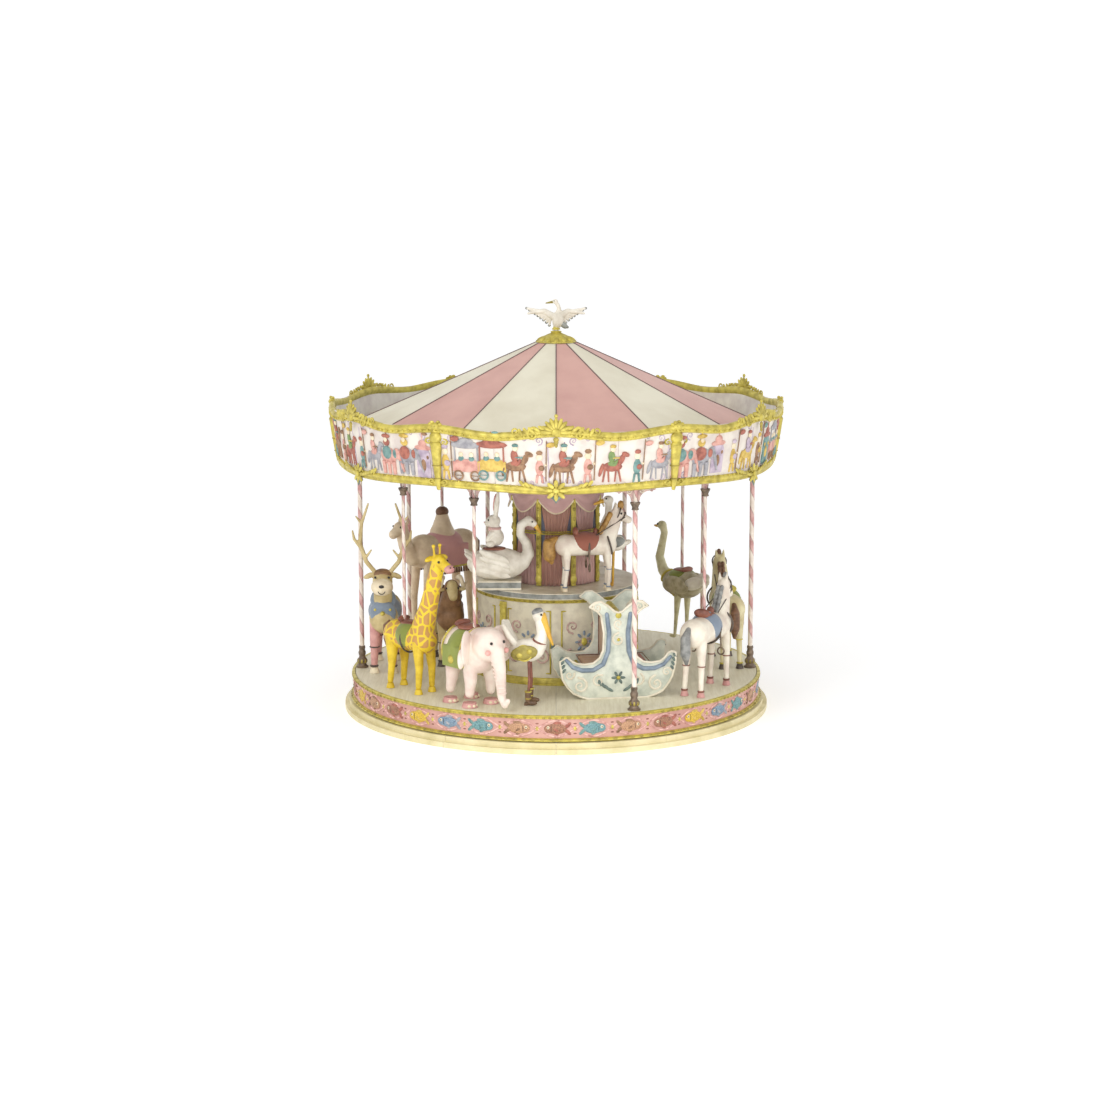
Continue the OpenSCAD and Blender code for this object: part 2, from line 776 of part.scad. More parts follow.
module ostrich() {
  color("#aaa284") rotate(lift_angles[0]) translate([lift_radii[0], 0, deck_top + lift_height])
    rotate(90) scale(spread) {
      limb([-220, 0, ostrich_belly], ostrich_girth, [190, 0, ostrich_belly], ostrich_girth);
      limb([330, 0, 930], 95, [520, 0, 1380], 62);
      limb([520, 0, 1380], 62, [440, 0, 1690], 58);
      limb([440, 0, 1700], 80, [640, 0, 1670], 32);
      limb([-330, 0, 930], 120, [-560, 0, 1010], 90);
      for (side = [-1, 1]) leg([-20, side * 110, 700], 80, 20, side * 120, 60);
    }
}

module lifting_horse() {
  color("#d8c8b4") rotate(lift_angles[1]) translate([lift_radii[1], 0, deck_top + lift_height])
    rotate(90) scale(spread)
      quadruped(1260, horse_back, horse_girth, 62,
                [600, 0, 1450], 110, 130, [820, 0, 1290], 75, [-640, 0, 620]);
}

module camel() {
  color("#c9a98c") rotate(lift_angles[2]) translate([lift_radii[2], 0, deck_top + lift_height])
    rotate(90) scale(spread) {
      quadruped(1350, 1640, 270, 85, [840, 0, 1780], 120, 140, [1020, 0, 1720], 90, [-680, 0, 1000]);
      limb([0, 0, 1550], 260, [0, 0, camel_hump - 119 * ball_cut], 119);
    }
}

module swan_carriage() {
  color("#dad2be") at_place(-800, -720, 0, stage_top) {
    translate([-330, -210, seat]) cube([620, 420, 120]);
    limb([-260, 0, 370], 280, [160, 0, 330], 250);
    limb([330, 0, 330], 110, [300, 0, 780], 75);
    limb([300, 0, 780], 75, [420, 0, 990], 75);
    limb([420, 0, 990], 75, [580, 0, 800], 40);
  }
}

module rabbit() {
  color("#dedad0") at_place(-870, -720, 180, stage_top) {
    limb([0, 0, 734], 120, [20, 0, 880], 95);
    limb([40, 0, 970], 105, [110, 0, 950], 75);
    for (side = [-1, 1]) limb([20, side * 50, 1060], 40, [-30, side * 80, 1450], 30);
  }
}

module stage_horse() {
  color("#d8c8b4") at_place(430, -900, 8, stage_top) {
    quadruped(900, 830, 165, 48, [420, 0, 1130], 90, 105, [570, 0, 1010], 55, [-430, 0, 760]);
  }
}

module stage_bird() {
  color("#e2ddcc") at_place(820, -560, 180, stage_top) {
    limb([-80, 0, 620], 140, [60, 0, 680], 130);
    limb([90, 0, 760], 70, [50, 0, 1180], 55);
    limb([50, 0, 1280], 75, [260, 0, 1210], 25);
    for (side = [-1, 1]) leg([-20, side * 60, 560], 38, -10, side * 60, 50);
  }
}

// ---------- chariot: two U-shaped seats back to back ----------

chariot_x = 820;
chariot_y = -1600;
chariot_turn = 9;
chariot_w = 800;
chariot_side = 45;
seat_h = 400;
back_thk = 150;
cushion_thk = 90;
seat_len = 420;
seat_w = chariot_w - 2 * chariot_side;

module chariot_outline() {
  polygon([[-840, 560], [-800, 300], [-640, 90], [-420, 0], [420, 0], [640, 90], [780, 300],
           [830, 640], [720, 660], [600, 520], [360, 520], [220, 700], [250, 1200], [420, 1330],
           [250, 1410], [60, 1260], [-60, 1260], [-250, 1410], [-420, 1330], [-250, 1200],
           [-220, 700], [-360, 520], [-600, 520], [-740, 620]]);
}

module chariot() {
  inner = seat_w / 2;
  color("#b7baa6") at_place(chariot_x, chariot_y, chariot_turn) {
    for (side = [0, 1]) mirror([0, side, 0])
      translate([0, inner + chariot_side, seat]) rotate([90, 0, 0])
        linear_extrude(chariot_side) chariot_outline();
    translate([-600, -inner - 1, 110]) cube([1200, seat_w + 2, 40]);
    translate([-back_thk / 2, -inner - 1, 150]) cube([back_thk, seat_w + 2, 1050]);
    for (side = [-1, 1])
      translate([side * (back_thk / 2 + seat_len / 2) - seat_len / 2 - 1, -inner - 1, seat_h - 30])
        cube([seat_len + 2, seat_w + 2, 30]);
  }
}

module chariot_cushions() {
  gap = 2;
  w = seat_w - 2 * gap;
  color("#a07d5f") at_place(chariot_x, chariot_y, chariot_turn) for (side = [0, 1]) mirror([side, 0, 0]) {
    translate([back_thk / 2 + seat, -w / 2, seat_h + seat]) cube([seat_len, w, cushion_thk]);
    translate([back_thk / 2 + seat, -w / 2, seat_h + cushion_thk + 2 * seat]) cube([cushion_thk, w, 600]);
  }
}

// ---------- rollers and friction drive ----------

module roller(k) {
  reach = roller_w / 2 + fork_gap + fork_thk + 6;
  color("#50555a") rotate(roller_angles[k]) translate([track_r, 0, roller_z]) rotate([0, 90, 0]) {
    translate([0, 0, -roller_w / 2]) cylinder(h = roller_w, r = roller_r);
    translate([0, 0, -reach]) cylinder(h = 2 * reach, r = axle_r);
  }
}

module drive_wheel() {
  color("#3c3a38") translate([drive_x, 0, 0]) {
    translate([0, 0, drive_bottom]) cylinder(h = drive_w, r = drive_wheel_r);
    translate([0, 0, beam_top + 21]) cylinder(h = drive_bottom - beam_top - 20, r = drive_shaft_r);
  }
}

plinth_ring();
ground_beams();
levelling_feet();
roller_track();
mast();
lower_thrust_race();
sun_gear();
gear_motor();
hub_sleeve();
deck_joists();
deck_panels();
fascia_panels();
fascia_mouldings();
drive_ring();
drum_panels();
drum_mouldings();
stage_slab();
curtains();
column_pilasters();
valance();
poles();
pole_fittings();
spandrels();
crown_frame();
crown_panels();
crown_mouldings();
crown_ornaments();
rafters();
apex_hub();
canopy();
canopy_cap();
finial_bird();
crank_bearings();
reindeer();
giraffe();
elephant();
stork();
chariot();
chariot_cushions();
white_horse();
palomino_horse();
ram();
swan_carriage();
rabbit();
stage_horse();
stage_bird();
roller(0);  // roller_1
roller(1);  // roller_2
roller(2);  // roller_3
roller(3);  // roller_4
drive_wheel();
crank(0);  // ostrich_crank
crank(1);  // horse_crank
crank(2);  // camel_crank
ostrich();
lifting_pole(0, saddle(ostrich_belly + ostrich_girth, ostrich_girth));  // ostrich_pole
lifting_horse();
lifting_pole(1, saddle(horse_back, horse_girth));  // horse_pole
camel();
lifting_pole(2, camel_hump * spread + seat);  // camel_pole
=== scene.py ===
import bpy
import math
import random
from math import cos, sin, pi, radians
from mathutils import Matrix, Vector


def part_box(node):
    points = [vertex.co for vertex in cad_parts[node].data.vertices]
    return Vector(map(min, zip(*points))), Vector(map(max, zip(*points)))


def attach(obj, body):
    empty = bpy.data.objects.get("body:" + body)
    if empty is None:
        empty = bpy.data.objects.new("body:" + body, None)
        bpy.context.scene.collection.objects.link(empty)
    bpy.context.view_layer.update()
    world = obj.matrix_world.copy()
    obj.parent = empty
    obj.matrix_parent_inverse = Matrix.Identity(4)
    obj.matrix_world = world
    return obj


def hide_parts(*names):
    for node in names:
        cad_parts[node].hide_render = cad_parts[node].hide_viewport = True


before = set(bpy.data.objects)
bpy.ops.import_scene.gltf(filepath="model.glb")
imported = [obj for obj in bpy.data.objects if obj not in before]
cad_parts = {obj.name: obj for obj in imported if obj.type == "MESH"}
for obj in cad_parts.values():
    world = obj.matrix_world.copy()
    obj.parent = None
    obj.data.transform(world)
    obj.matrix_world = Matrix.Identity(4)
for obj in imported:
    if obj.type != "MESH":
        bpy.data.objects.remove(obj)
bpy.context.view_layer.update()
random.seed(7)

# small tools


def deselect():
    bpy.ops.object.select_all(action="DESELECT")


def beginPiece(name):  # an empty mesh, left open in edit mode for the primitives that follow
    deselect()
    bpy.ops.mesh.primitive_cube_add(size=0.01)
    piece = bpy.context.object
    piece.name = name
    piece.data.name = name
    bpy.ops.object.mode_set(mode="EDIT")
    bpy.ops.mesh.delete(type="VERT")
    return piece


def gridPiece(name, columns, rows):  # a flat grid whose points are then placed by formula
    deselect()
    bpy.ops.mesh.primitive_grid_add(x_subdivisions=columns, y_subdivisions=rows, size=2)
    piece = bpy.context.object
    piece.name = name
    piece.data.name = name
    return piece


def weld(gap, holes=False, turnOut=True):  # closes the seam where a grid has been wrapped round
    bpy.ops.object.mode_set(mode="EDIT")
    bpy.ops.mesh.select_all(action="SELECT")
    bpy.ops.mesh.remove_doubles(threshold=gap)
    if holes:
        bpy.ops.mesh.fill_holes(sides=0)
    if turnOut:
        bpy.ops.mesh.normals_make_consistent(inside=False)
    bpy.ops.object.mode_set(mode="OBJECT")


def endPiece(piece, voxel=0, relax=0):
    if bpy.context.mode != "OBJECT":
        bpy.ops.object.mode_set(mode="OBJECT")
    deselect()
    piece.select_set(True)
    bpy.context.view_layer.objects.active = piece
    if voxel:
        mod = piece.modifiers.new("skin", "REMESH")
        mod.mode = "VOXEL"
        mod.voxel_size = voxel
        bpy.ops.object.modifier_apply(modifier=mod.name)
    if relax:
        mod = piece.modifiers.new("relax", "SMOOTH")
        mod.factor = 0.6
        mod.iterations = relax
        bpy.ops.object.modifier_apply(modifier=mod.name)
    if voxel:
        bpy.ops.object.shade_smooth()
    else:
        bpy.ops.object.shade_smooth_by_angle(angle=radians(40))
    return piece


def ball(centre, size, turn=(0, 0, 0), sides=16):
    if not hasattr(size, "__len__"):
        size = (size, size, size)
    turn = [radians(a) for a in turn]
    bpy.ops.mesh.primitive_uv_sphere_add(segments=sides, ring_count=max(4, sides // 2), radius=1,
                                         location=centre, rotation=turn, scale=size)


def rod(start, end, r1, r2=None, sides=12, caps=True):  # a straight tapered limb with round ends
    start, end = Vector(start), Vector(end)
    r2 = r1 if r2 is None else r2
    way = end - start
    turn = way.to_track_quat("Z", "Y").to_euler()
    bpy.ops.mesh.primitive_cone_add(vertices=sides, radius1=r1, radius2=r2, depth=way.length,
                                    location=(start + end) / 2, rotation=turn)
    if caps:
        ball(start, r1, sides=sides)
        ball(end, r2, sides=sides)


def chain(points, radii, sides=12):  # rods joined end to end
    for k in range(len(points) - 1):
        rod(points[k], points[k + 1], radii[k], radii[k + 1], sides)


def block(centre, size, turn=(0, 0, 0)):
    turn = [radians(a) for a in turn]
    bpy.ops.mesh.primitive_cube_add(size=1, location=centre, rotation=turn, scale=size)


def ringBar(centre, radius, thick, turn=(0, 0, 0), sides=24, minor=8):
    turn = [radians(a) for a in turn]
    bpy.ops.mesh.primitive_torus_add(major_segments=sides, minor_segments=minor, major_radius=radius,
                                     minor_radius=thick, location=centre, rotation=turn)


def joinAll(first, others):
    deselect()
    for piece in [first] + others:
        piece.select_set(True)
    bpy.context.view_layer.objects.active = first
    bpy.ops.object.join()
    return first


def place(piece, matrix):
    deselect()
    piece.select_set(True)
    bpy.context.view_layer.objects.active = piece
    piece.matrix_world = matrix
    bpy.ops.object.transform_apply(location=True, rotation=True, scale=True)


def spot(x, y, heading, z):
    return Matrix.Translation((x, y, z)) @ Matrix.Rotation(radians(heading), 4, "Z")


def paintWith(piece, material):
    piece.data.materials.clear()
    piece.data.materials.append(material)
    return piece


def hold(piece, body, slotName, *nodes):
    if "." in piece.name:  # a frame node has the plain name already
        piece.name = piece.name.split(".")[0] + "Look"
    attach(piece, body)
    if nodes:
        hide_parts(*nodes)
    return piece


# finishes


def tone(r, g, b):  # a paint colour given as seen on a screen, made linear
    def one(v):
        v = v / 255
        return v / 12.92 if v <= 0.04045 else ((v + 0.055) / 1.055) ** 2.4
    return (one(r), one(g), one(b), 1)


def nodeIn(tree, kind, **settings):
    node = tree.nodes.new(kind)
    for key, value in settings.items():
        setattr(node, key, value)
    return node


def ramp(tree, source, stops):
    node = nodeIn(tree, "ShaderNodeValToRGB")
    elements = node.color_ramp.elements
    while len(elements) < len(stops):
        elements.new(0.5)
    for element, (placeAt, colour) in zip(elements, stops):
        element.position = placeAt
        element.color = colour
    tree.links.new(source, node.inputs["Fac"])
    return node.outputs["Color"]


def mixColour(tree, fac, a, b):
    node = nodeIn(tree, "ShaderNodeMix", data_type="RGBA")
    for index, value in ((0, fac), (6, a), (7, b)):
        if hasattr(value, "is_linked"):
            tree.links.new(value, node.inputs[index])
        else:
            node.inputs[index].default_value = value
    return node.outputs[2]


def calc(tree, operation, a, b=0.0):
    node = nodeIn(tree, "ShaderNodeMath", operation=operation)
    for index, value in enumerate((a, b)):
        if hasattr(value, "is_linked"):
            tree.links.new(value, node.inputs[index])
        else:
            node.inputs[index].default_value = value
    return node.outputs[0]


def newPaint(name):
    material = bpy.data.materials.new(name)
    material.use_nodes = True
    tree = material.node_tree
    shader = tree.nodes["Principled BSDF"]
    coord = nodeIn(tree, "ShaderNodeTexCoord")
    return material, tree, shader, coord.outputs["Object"]


def noise(tree, coord, scale, detail=3.0, rough=0.55):
    node = nodeIn(tree, "ShaderNodeTexNoise")
    node.inputs["Scale"].default_value = scale
    node.inputs["Detail"].default_value = detail
    node.inputs["Roughness"].default_value = rough
    tree.links.new(coord, node.inputs["Vector"])
    return node.outputs["Fac"]


def bump(tree, shader, height, strength, distance):
    node = nodeIn(tree, "ShaderNodeBump")
    node.inputs["Strength"].default_value = strength
    node.inputs["Distance"].default_value = distance
    tree.links.new(height, node.inputs["Height"])
    tree.links.new(node.outputs["Normal"], shader.inputs["Normal"])


def handPaint(name, main, shade, scale=3.0, rough=0.55, metal=0.0, grain=60.0, depth=0.002, wearAndHighlight=None):
    # washed brush colour with fine grain and a little wear; on gold the lighter noise patches of the last
    # colour are a painted highlight
    material, tree, shader, coord = newPaint(name)
    broad = noise(tree, coord, scale, 4.0)
    colour = ramp(tree, broad, [(0.32, shade), (0.6, main)])
    fine = noise(tree, coord, grain, 2.0)
    # noise patches that lay the last colour: wear on most paints, a painted highlight on gold
    if wearAndHighlight:
        wearAndHighlightMask = ramp(tree, noise(tree, coord, scale * 7, 5.0, 0.7),
                    [(0.66, (0, 0, 0, 1)), (0.74, (1, 1, 1, 1))])
        colour = mixColour(tree, wearAndHighlightMask, colour, wearAndHighlight)
    tree.links.new(colour, shader.inputs["Base Color"])
    gloss = ramp(tree, broad, [(0.3, (rough + 0.12,) * 3 + (1,)), (0.7, (rough - 0.1,) * 3 + (1,))])
    tree.links.new(gloss, shader.inputs["Roughness"])
    shader.inputs["Metallic"].default_value = metal
    bump(tree, shader, fine, 0.25, depth)
    return material


# gold: the lighter last colour, laid in noise patches, is a painted highlight on the gilding
gold = handPaint("gold", tone(206, 190, 88), tone(162, 146, 62), 9, 0.42, 0.25, 45, 0.004,
                 tone(226, 214, 120))
goldDark = handPaint("goldDark", tone(176, 158, 72), tone(126, 112, 50), 9, 0.45, 0.25, 45, 0.004)
ivory = handPaint("ivory", tone(228, 220, 200), tone(204, 194, 170), 4, 0.5)
cream = handPaint("cream", tone(226, 214, 172), tone(206, 194, 146), 3, 0.55, wearAndHighlight=tone(196, 184, 140))
steelGrey = handPaint("steelGrey", tone(150, 158, 165), tone(116, 124, 132), 5, 0.5, 0.3, 80, 0.001)
steelBright = handPaint("steelBright", tone(190, 194, 198), tone(150, 155, 160), 12, 0.32, 0.9, 160, 0.0006)
motorGreen = handPaint("motorGreen", tone(92, 120, 104), tone(66, 88, 78), 8, 0.45)
rubber = handPaint("rubber", tone(58, 56, 54), tone(38, 37, 36), 20, 0.85)
bronze = handPaint("bronze", tone(128, 110, 92), tone(84, 72, 60), 14, 0.42, 0.45, 60, 0.002,
                   tone(150, 132, 100))
timber = handPaint("timber", tone(190, 176, 148), tone(158, 144, 116), 6, 0.7)


def polar(radius, angle, z=0.0):  # frame on a circle: +X outwards, +Y along the circle, +Z up
    return Matrix.Rotation(radians(angle), 4, "Z") @ Matrix.Translation((radius, 0, z))


def scatter(master, places):  # copies of one finished shape, joined into it
    others = []
    for matrix in places[1:]:
        twin = master.copy()
        twin.data = master.data.copy()
        bpy.context.collection.objects.link(twin)
        twin.data.transform(matrix)
        others.append(twin)
    master.data.transform(places[0])
    return joinAll(master, others)


def canvasPaint(name, main, shade):  # painted cloth with a fine weave
    material, tree, shader, coord = newPaint(name)
    wash = ramp(tree, noise(tree, coord, 1.3, 4.0), [(0.3, shade), (0.62, main)])
    tree.links.new(wash, shader.inputs["Base Color"])
    shader.inputs["Roughness"].default_value = 0.8
    shader.inputs["Sheen Weight"].default_value = 0.25
    weave = []
    for axis in ("X", "Y"):
        wave = nodeIn(tree, "ShaderNodeTexWave", bands_direction=axis)
        wave.inputs["Scale"].default_value = 90
        tree.links.new(coord, wave.inputs["Vector"])
        weave.append(wave.outputs["Fac"])
    bump(tree, shader, calc(tree, "ADD", weave[0], weave[1]), 0.2, 0.0006)
    return material


def spiralPaint(name, first, second):  # stripes that wind up a pole on its own unwrapped surface
    material, tree, shader, coord = newPaint(name)
    uv = nodeIn(tree, "ShaderNodeUVMap")
    parts = nodeIn(tree, "ShaderNodeSeparateXYZ")
    tree.links.new(uv.outputs["UV"], parts.inputs[0])
    turn = calc(tree, "FRACT", calc(tree, "ADD", parts.outputs[0], parts.outputs[1]))
    stripes = ramp(tree, turn, [(0.0, first), (0.36, first), (0.4, tone(120, 84, 78)), (0.44, second),
                                (0.93, second), (0.96, tone(120, 84, 78)), (1.0, first)])
    washed = mixColour(tree, 0.25, stripes, ramp(tree, noise(tree, coord, 12, 3), [
        (0.35, tone(150, 110, 104)), (0.65, tone(240, 228, 216))]))
    tree.links.new(washed, shader.inputs["Base Color"])
    shader.inputs["Roughness"].default_value = 0.35
    shader.inputs["Coat Weight"].default_value = 0.3
    bump(tree, shader, noise(tree, coord, 70), 0.15, 0.001)
    return material


def cellPaint(name, field, line, scale, width=0.06, stretch=(1, 1, 1)):
    # patches with lines between them, as on a giraffe's coat
    material, tree, shader, coord = newPaint(name)
    fit = nodeIn(tree, "ShaderNodeMapping")
    fit.inputs["Scale"].default_value = stretch
    tree.links.new(coord, fit.inputs["Vector"])
    cells = nodeIn(tree, "ShaderNodeTexVoronoi", feature="DISTANCE_TO_EDGE")
    cells.inputs["Scale"].default_value = scale
    tree.links.new(fit.outputs["Vector"], cells.inputs["Vector"])
    mask = ramp(tree, cells.outputs["Distance"], [(width, (0, 0, 0, 1)), (width + 0.03, (1, 1, 1, 1))])
    washed = ramp(tree, noise(tree, coord, 9), [(0.3, tuple(v * 0.82 for v in field[:3]) + (1,)),
                                                (0.7, field)])
    colour = mixColour(tree, mask, line, washed)
    tree.links.new(colour, shader.inputs["Base Color"])
    shader.inputs["Roughness"].default_value = 0.5
    bump(tree, shader, noise(tree, coord, 50), 0.2, 0.002)
    return material


def boardPaint(name, main, shade, board=0.15):  # painted deck boards laid side by side
    material, tree, shader, coord = newPaint(name)
    parts = nodeIn(tree, "ShaderNodeSeparateXYZ")
    tree.links.new(coord, parts.inputs[0])
    lane = calc(tree, "FRACT", calc(tree, "DIVIDE", parts.outputs[0], board))
    joint = ramp(tree, lane, [(0.0, (0, 0, 0, 1)), (0.03, (1, 1, 1, 1)), (0.97, (1, 1, 1, 1)),
                              (1.0, (0, 0, 0, 1))])
    stretched = nodeIn(tree, "ShaderNodeMapping")
    stretched.inputs["Scale"].default_value = (8, 0.8, 1)
    tree.links.new(coord, stretched.inputs["Vector"])
    grain = noise(tree, stretched.outputs["Vector"], 3.0, 5.0)
    colour = ramp(tree, grain, [(0.3, shade), (0.65, main)])
    tree.links.new(mixColour(tree, joint, shade, colour), shader.inputs["Base Color"])
    shader.inputs["Roughness"].default_value = 0.55
    bump(tree, shader, mixColour(tree, 0.3, joint, grain), 0.25, 0.002)
    return material


pink = handPaint("pink", tone(206, 160, 148), tone(188, 138, 128), 2.2, 0.55)
deckPaint = boardPaint("deckPaint", tone(232, 226, 202), tone(216, 208, 180))
panelWhite = handPaint("panelWhite", tone(224, 216, 204), tone(204, 192, 184), 4, 0.5,
                       wearAndHighlight=tone(196, 182, 186))
drumPaint = handPaint("drumPaint", tone(218, 210, 186), tone(190, 180, 160), 5, 0.5, wearAndHighlight=tone(178, 164, 150))
canvasPink = canvasPaint("canvasPink", tone(210, 164, 152), tone(196, 148, 138))
canvasCream = canvasPaint("canvasCream", tone(226, 220, 198), tone(212, 204, 180))
# pale grey canvas, laid on the side and back gores of the canopy as painted shade
canvasShadeGrey = canvasPaint("canvasShadeGrey", tone(198, 204, 204), tone(184, 190, 192))
canvasLine = canvasPaint("canvasLine", tone(120, 96, 92), tone(96, 78, 76))
polePaint = spiralPaint("polePaint", tone(196, 138, 134), tone(230, 218, 202))
velvetBrown = canvasPaint("velvetBrown", tone(182, 138, 120), tone(140, 100, 90))
velvetMauve = canvasPaint("velvetMauve", tone(208, 170, 162), tone(164, 126, 124))
velvetBlue = canvasPaint("velvetBlue", tone(138, 140, 158), tone(100, 102, 122))

print("finishes ready")

# CAD nodes that keep their own shape

cadFinish = {
    "plinth_ring": cream, "ground_beams": steelGrey, "levelling_feet": steelGrey, "roller_track": steelBright,
    "mast": steelGrey, "lower_thrust_race": steelBright, "sun_gear": steelBright, "gear_motor": motorGreen,
    "hub_sleeve": steelGrey, "deck_joists": steelGrey, "deck_panels": deckPaint, "fascia_panels": pink,
    "fascia_mouldings": gold, "drive_ring": steelBright, "drum_panels": drumPaint, "drum_mouldings": gold,
    "stage_slab": ivory, "column_pilasters": gold, "pole_fittings": bronze, "spandrels": ivory,
    "crown_frame": steelGrey, "crown_panels": panelWhite, "rafters": timber, "apex_hub": steelGrey,
    "canopy_cap": gold, "crank_bearings": steelGrey, "drive_wheel": rubber,
    "ostrich_crank": steelBright, "horse_crank": steelBright, "camel_crank": steelBright,
}
for k in range(1, 5):
    cadFinish["roller_%d" % k] = steelBright
for nodeName, finish in cadFinish.items():
    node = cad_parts[nodeName]
    if not node.data.materials:
        node.data.materials.append(finish)
    for k in range(len(node.material_slots)):
        node.material_slots[k].material = finish

print("frame painted")

# crown: serpentine gilt mouldings, shell crests, terms and the painted parade

crown = {"low": 3.70, "depth": 0.84, "inner": 3.14, "flare": 0.12, "skin": 0.028}


def crownFace(z):  # outer face of the crown's panels at a height
    return crown["inner"] + crown["flare"] * (z - crown["low"]) / crown["depth"] + crown["skin"]


def sweepRing(name, section, steps,
              rise=None):  # a section of (radius, height) swept round the axis, lifted by rise(angle)
    piece = gridPiece(name, steps, len(section))
    for vertex in piece.data.vertices:
        along = (vertex.co.x + 1) / 2
        across = (vertex.co.y + 1) / 2 * len(section)
        low = int(across + 1e-6) % len(section)
        r, z = section[low]
        angle = along * 2 * pi
        z = z + (rise(angle) if rise else 0.0)
        vertex.co = (r * cos(angle), r * sin(angle), z)
    weld(0.0004)
    bpy.ops.object.shade_smooth_by_angle(angle=radians(50))
    return piece


shapes = {"ball": ball, "rod": rod, "chain": chain, "block": block, "ring": ringBar}


def model(name, groups):  # each group is (material, voxel, relax, parts)
    done = []
    for material, voxel, relax, parts in groups:
        piece = beginPiece(name)
        for kind, *values in parts:
            shapes[kind](*values)
        endPiece(piece, voxel, relax)
        done.append(paintWith(piece, material))
    return joinAll(done[0], done[1:])


def pair(make):  # the same parts on the left and on the right
    return make(1) + make(-1)


# animal finishes

coatTan = handPaint("coatTan", tone(204, 186, 136), tone(172, 150, 100), 5, 0.5)
patchBrown = handPaint("patchBrown", tone(140, 104, 70), tone(108, 78, 50), 8, 0.5)
skinCream = handPaint("skinCream", tone(230, 216, 186), tone(208, 190, 158), 6, 0.5)
legPink = handPaint("legPink", tone(210, 158, 150), tone(184, 128, 124), 7, 0.5)
strapDark = handPaint("strapDark", tone(92, 80, 70), tone(62, 54, 48), 12, 0.45)
blanketBlue = canvasPaint("blanketBlue", tone(134, 146, 160), tone(98, 110, 126))
blanketPink = canvasPaint("blanketPink", tone(210, 156, 154), tone(178, 122, 122))
clothOlive = canvasPaint("clothOlive", tone(142, 150, 66), tone(104, 112, 46))
clothRed = canvasPaint("clothRed", tone(152, 92, 74), tone(112, 62, 52))
giraffeCoat = cellPaint("giraffeCoat", tone(198, 148, 80), tone(226, 196, 44), 9.0, 0.1, stretch=(1, 1, 0.8))
giraffeYellow = handPaint("giraffeYellow", tone(226, 196, 52), tone(198, 164, 30), 7, 0.5)
elephantSkin = handPaint("elephantSkin", tone(232, 218, 204), tone(214, 188, 176), 3, 0.6, depth=0.004)
featherWhite = handPaint("featherWhite", tone(234, 228, 214), tone(206, 198, 182), 6, 0.5)
featherGrey = handPaint("featherGrey", tone(150, 152, 146), tone(112, 114, 108), 8, 0.5)
billOrange = handPaint("billOrange", tone(218, 172, 60), tone(188, 136, 44), 6, 0.35)
wingOlive = handPaint("wingOlive", tone(162, 148, 70), tone(118, 106, 46), 8, 0.5)
bootBrown = handPaint("bootBrown", tone(124, 96, 70), tone(88, 66, 48), 10, 0.4)
horseWhite = handPaint("horseWhite", tone(234, 226, 208), tone(212, 196, 180), 5, 0.45)
hairGrey = handPaint("hairGrey", tone(146, 146, 142), tone(106, 106, 104), 12, 0.5)
leatherBrown = handPaint("leatherBrown", tone(146, 92, 74), tone(106, 62, 50), 8, 0.4)
palominoCoat = handPaint("palominoCoat", tone(218, 208, 166), tone(190, 174, 126), 5, 0.45)
hairOchre = handPaint("hairOchre", tone(180, 138, 70), tone(132, 94, 46), 14, 0.5)
hairBrown = handPaint("hairBrown", tone(128, 92, 66), tone(88, 62, 44), 14, 0.5)
plumageTan = handPaint("plumageTan", tone(188, 178, 148), tone(146, 136, 108), 9, 0.6, depth=0.006)
neckTan = handPaint("neckTan", tone(208, 202, 164), tone(180, 172, 130), 9, 0.55)
camelCoat = handPaint("camelCoat", tone(222, 202, 172), tone(196, 172, 142), 6, 0.6)
carvedGreen = handPaint("carvedGreen", tone(212, 214, 198), tone(172, 178, 164), 6, 0.45)
carvedDark = handPaint("carvedDark", tone(104, 120, 112), tone(76, 90, 86), 8, 0.45)
bandBlue = handPaint("bandBlue", tone(136, 150, 164), tone(104, 118, 132), 7, 0.4)
eyeDark = handPaint("eyeDark", tone(48, 42, 38), tone(36, 32, 30), 10, 0.25)
cheekRose = handPaint("cheekRose", tone(222, 166, 156), tone(204, 146, 138), 10, 0.5)


def beast(v):  # body, legs and feet of a carved four-legged animal; heads along +X
    girth, hoof = v["girth"], v["hoof"]
    reach, belly = v["long"] / 2 - girth, v["back"] - girth
    thick = v.get("thick", 1.0)
    body = [("ball", (-reach, 0, belly), (girth * 1.08, girth * 0.97, girth * 0.99), (0, 0, 0), 24),
            ("ball", (reach, 0, belly), (girth * 1.02, girth * 0.9, girth), (0, 0, 0), 24),
            ("rod", (-reach, 0, belly), (reach, 0, belly), girth * 0.93, girth * 0.9, 24),
            ("chain", v["neck"], v["neckR"], 20)]
    limbs, feet, cuffs = [], [], []
    for sx in (-1, 1):
        for sy in (-1, 1):
            footX, footY = sx * (reach * 1.05 + hoof * 0.4), sy * girth * 0.6
            hip = (sx * reach * 1.02, sy * girth * 0.5, belly - girth * 0.15)
            knee = (footX - sx * 0.01 + 0.02, sy * girth * 0.56, belly * 0.5)
            ankle = (footX, footY, hoof * 1.7)
            thigh = girth * (0.44 if sx < 0 else 0.36) * thick
            limbs += [("rod", hip, knee, thigh, hoof * 0.86 * thick, 14),
                      ("rod", knee, ankle, hoof * 0.8 * thick, hoof * 0.62 * thick, 12)]
            feet += [("rod", (footX, footY, 0.004), (footX, footY, hoof * 1.2), hoof, hoof * 0.72, 16, False)]
            cuffs += [("ring", (footX, footY, hoof * 1.5), hoof * 0.66, hoof * 0.2)]
            cuffs += [("ring", (knee[0], knee[1], knee[2] - 0.01), hoof * 0.84 * thick, hoof * 0.14)]
    return body, limbs, feet, cuffs


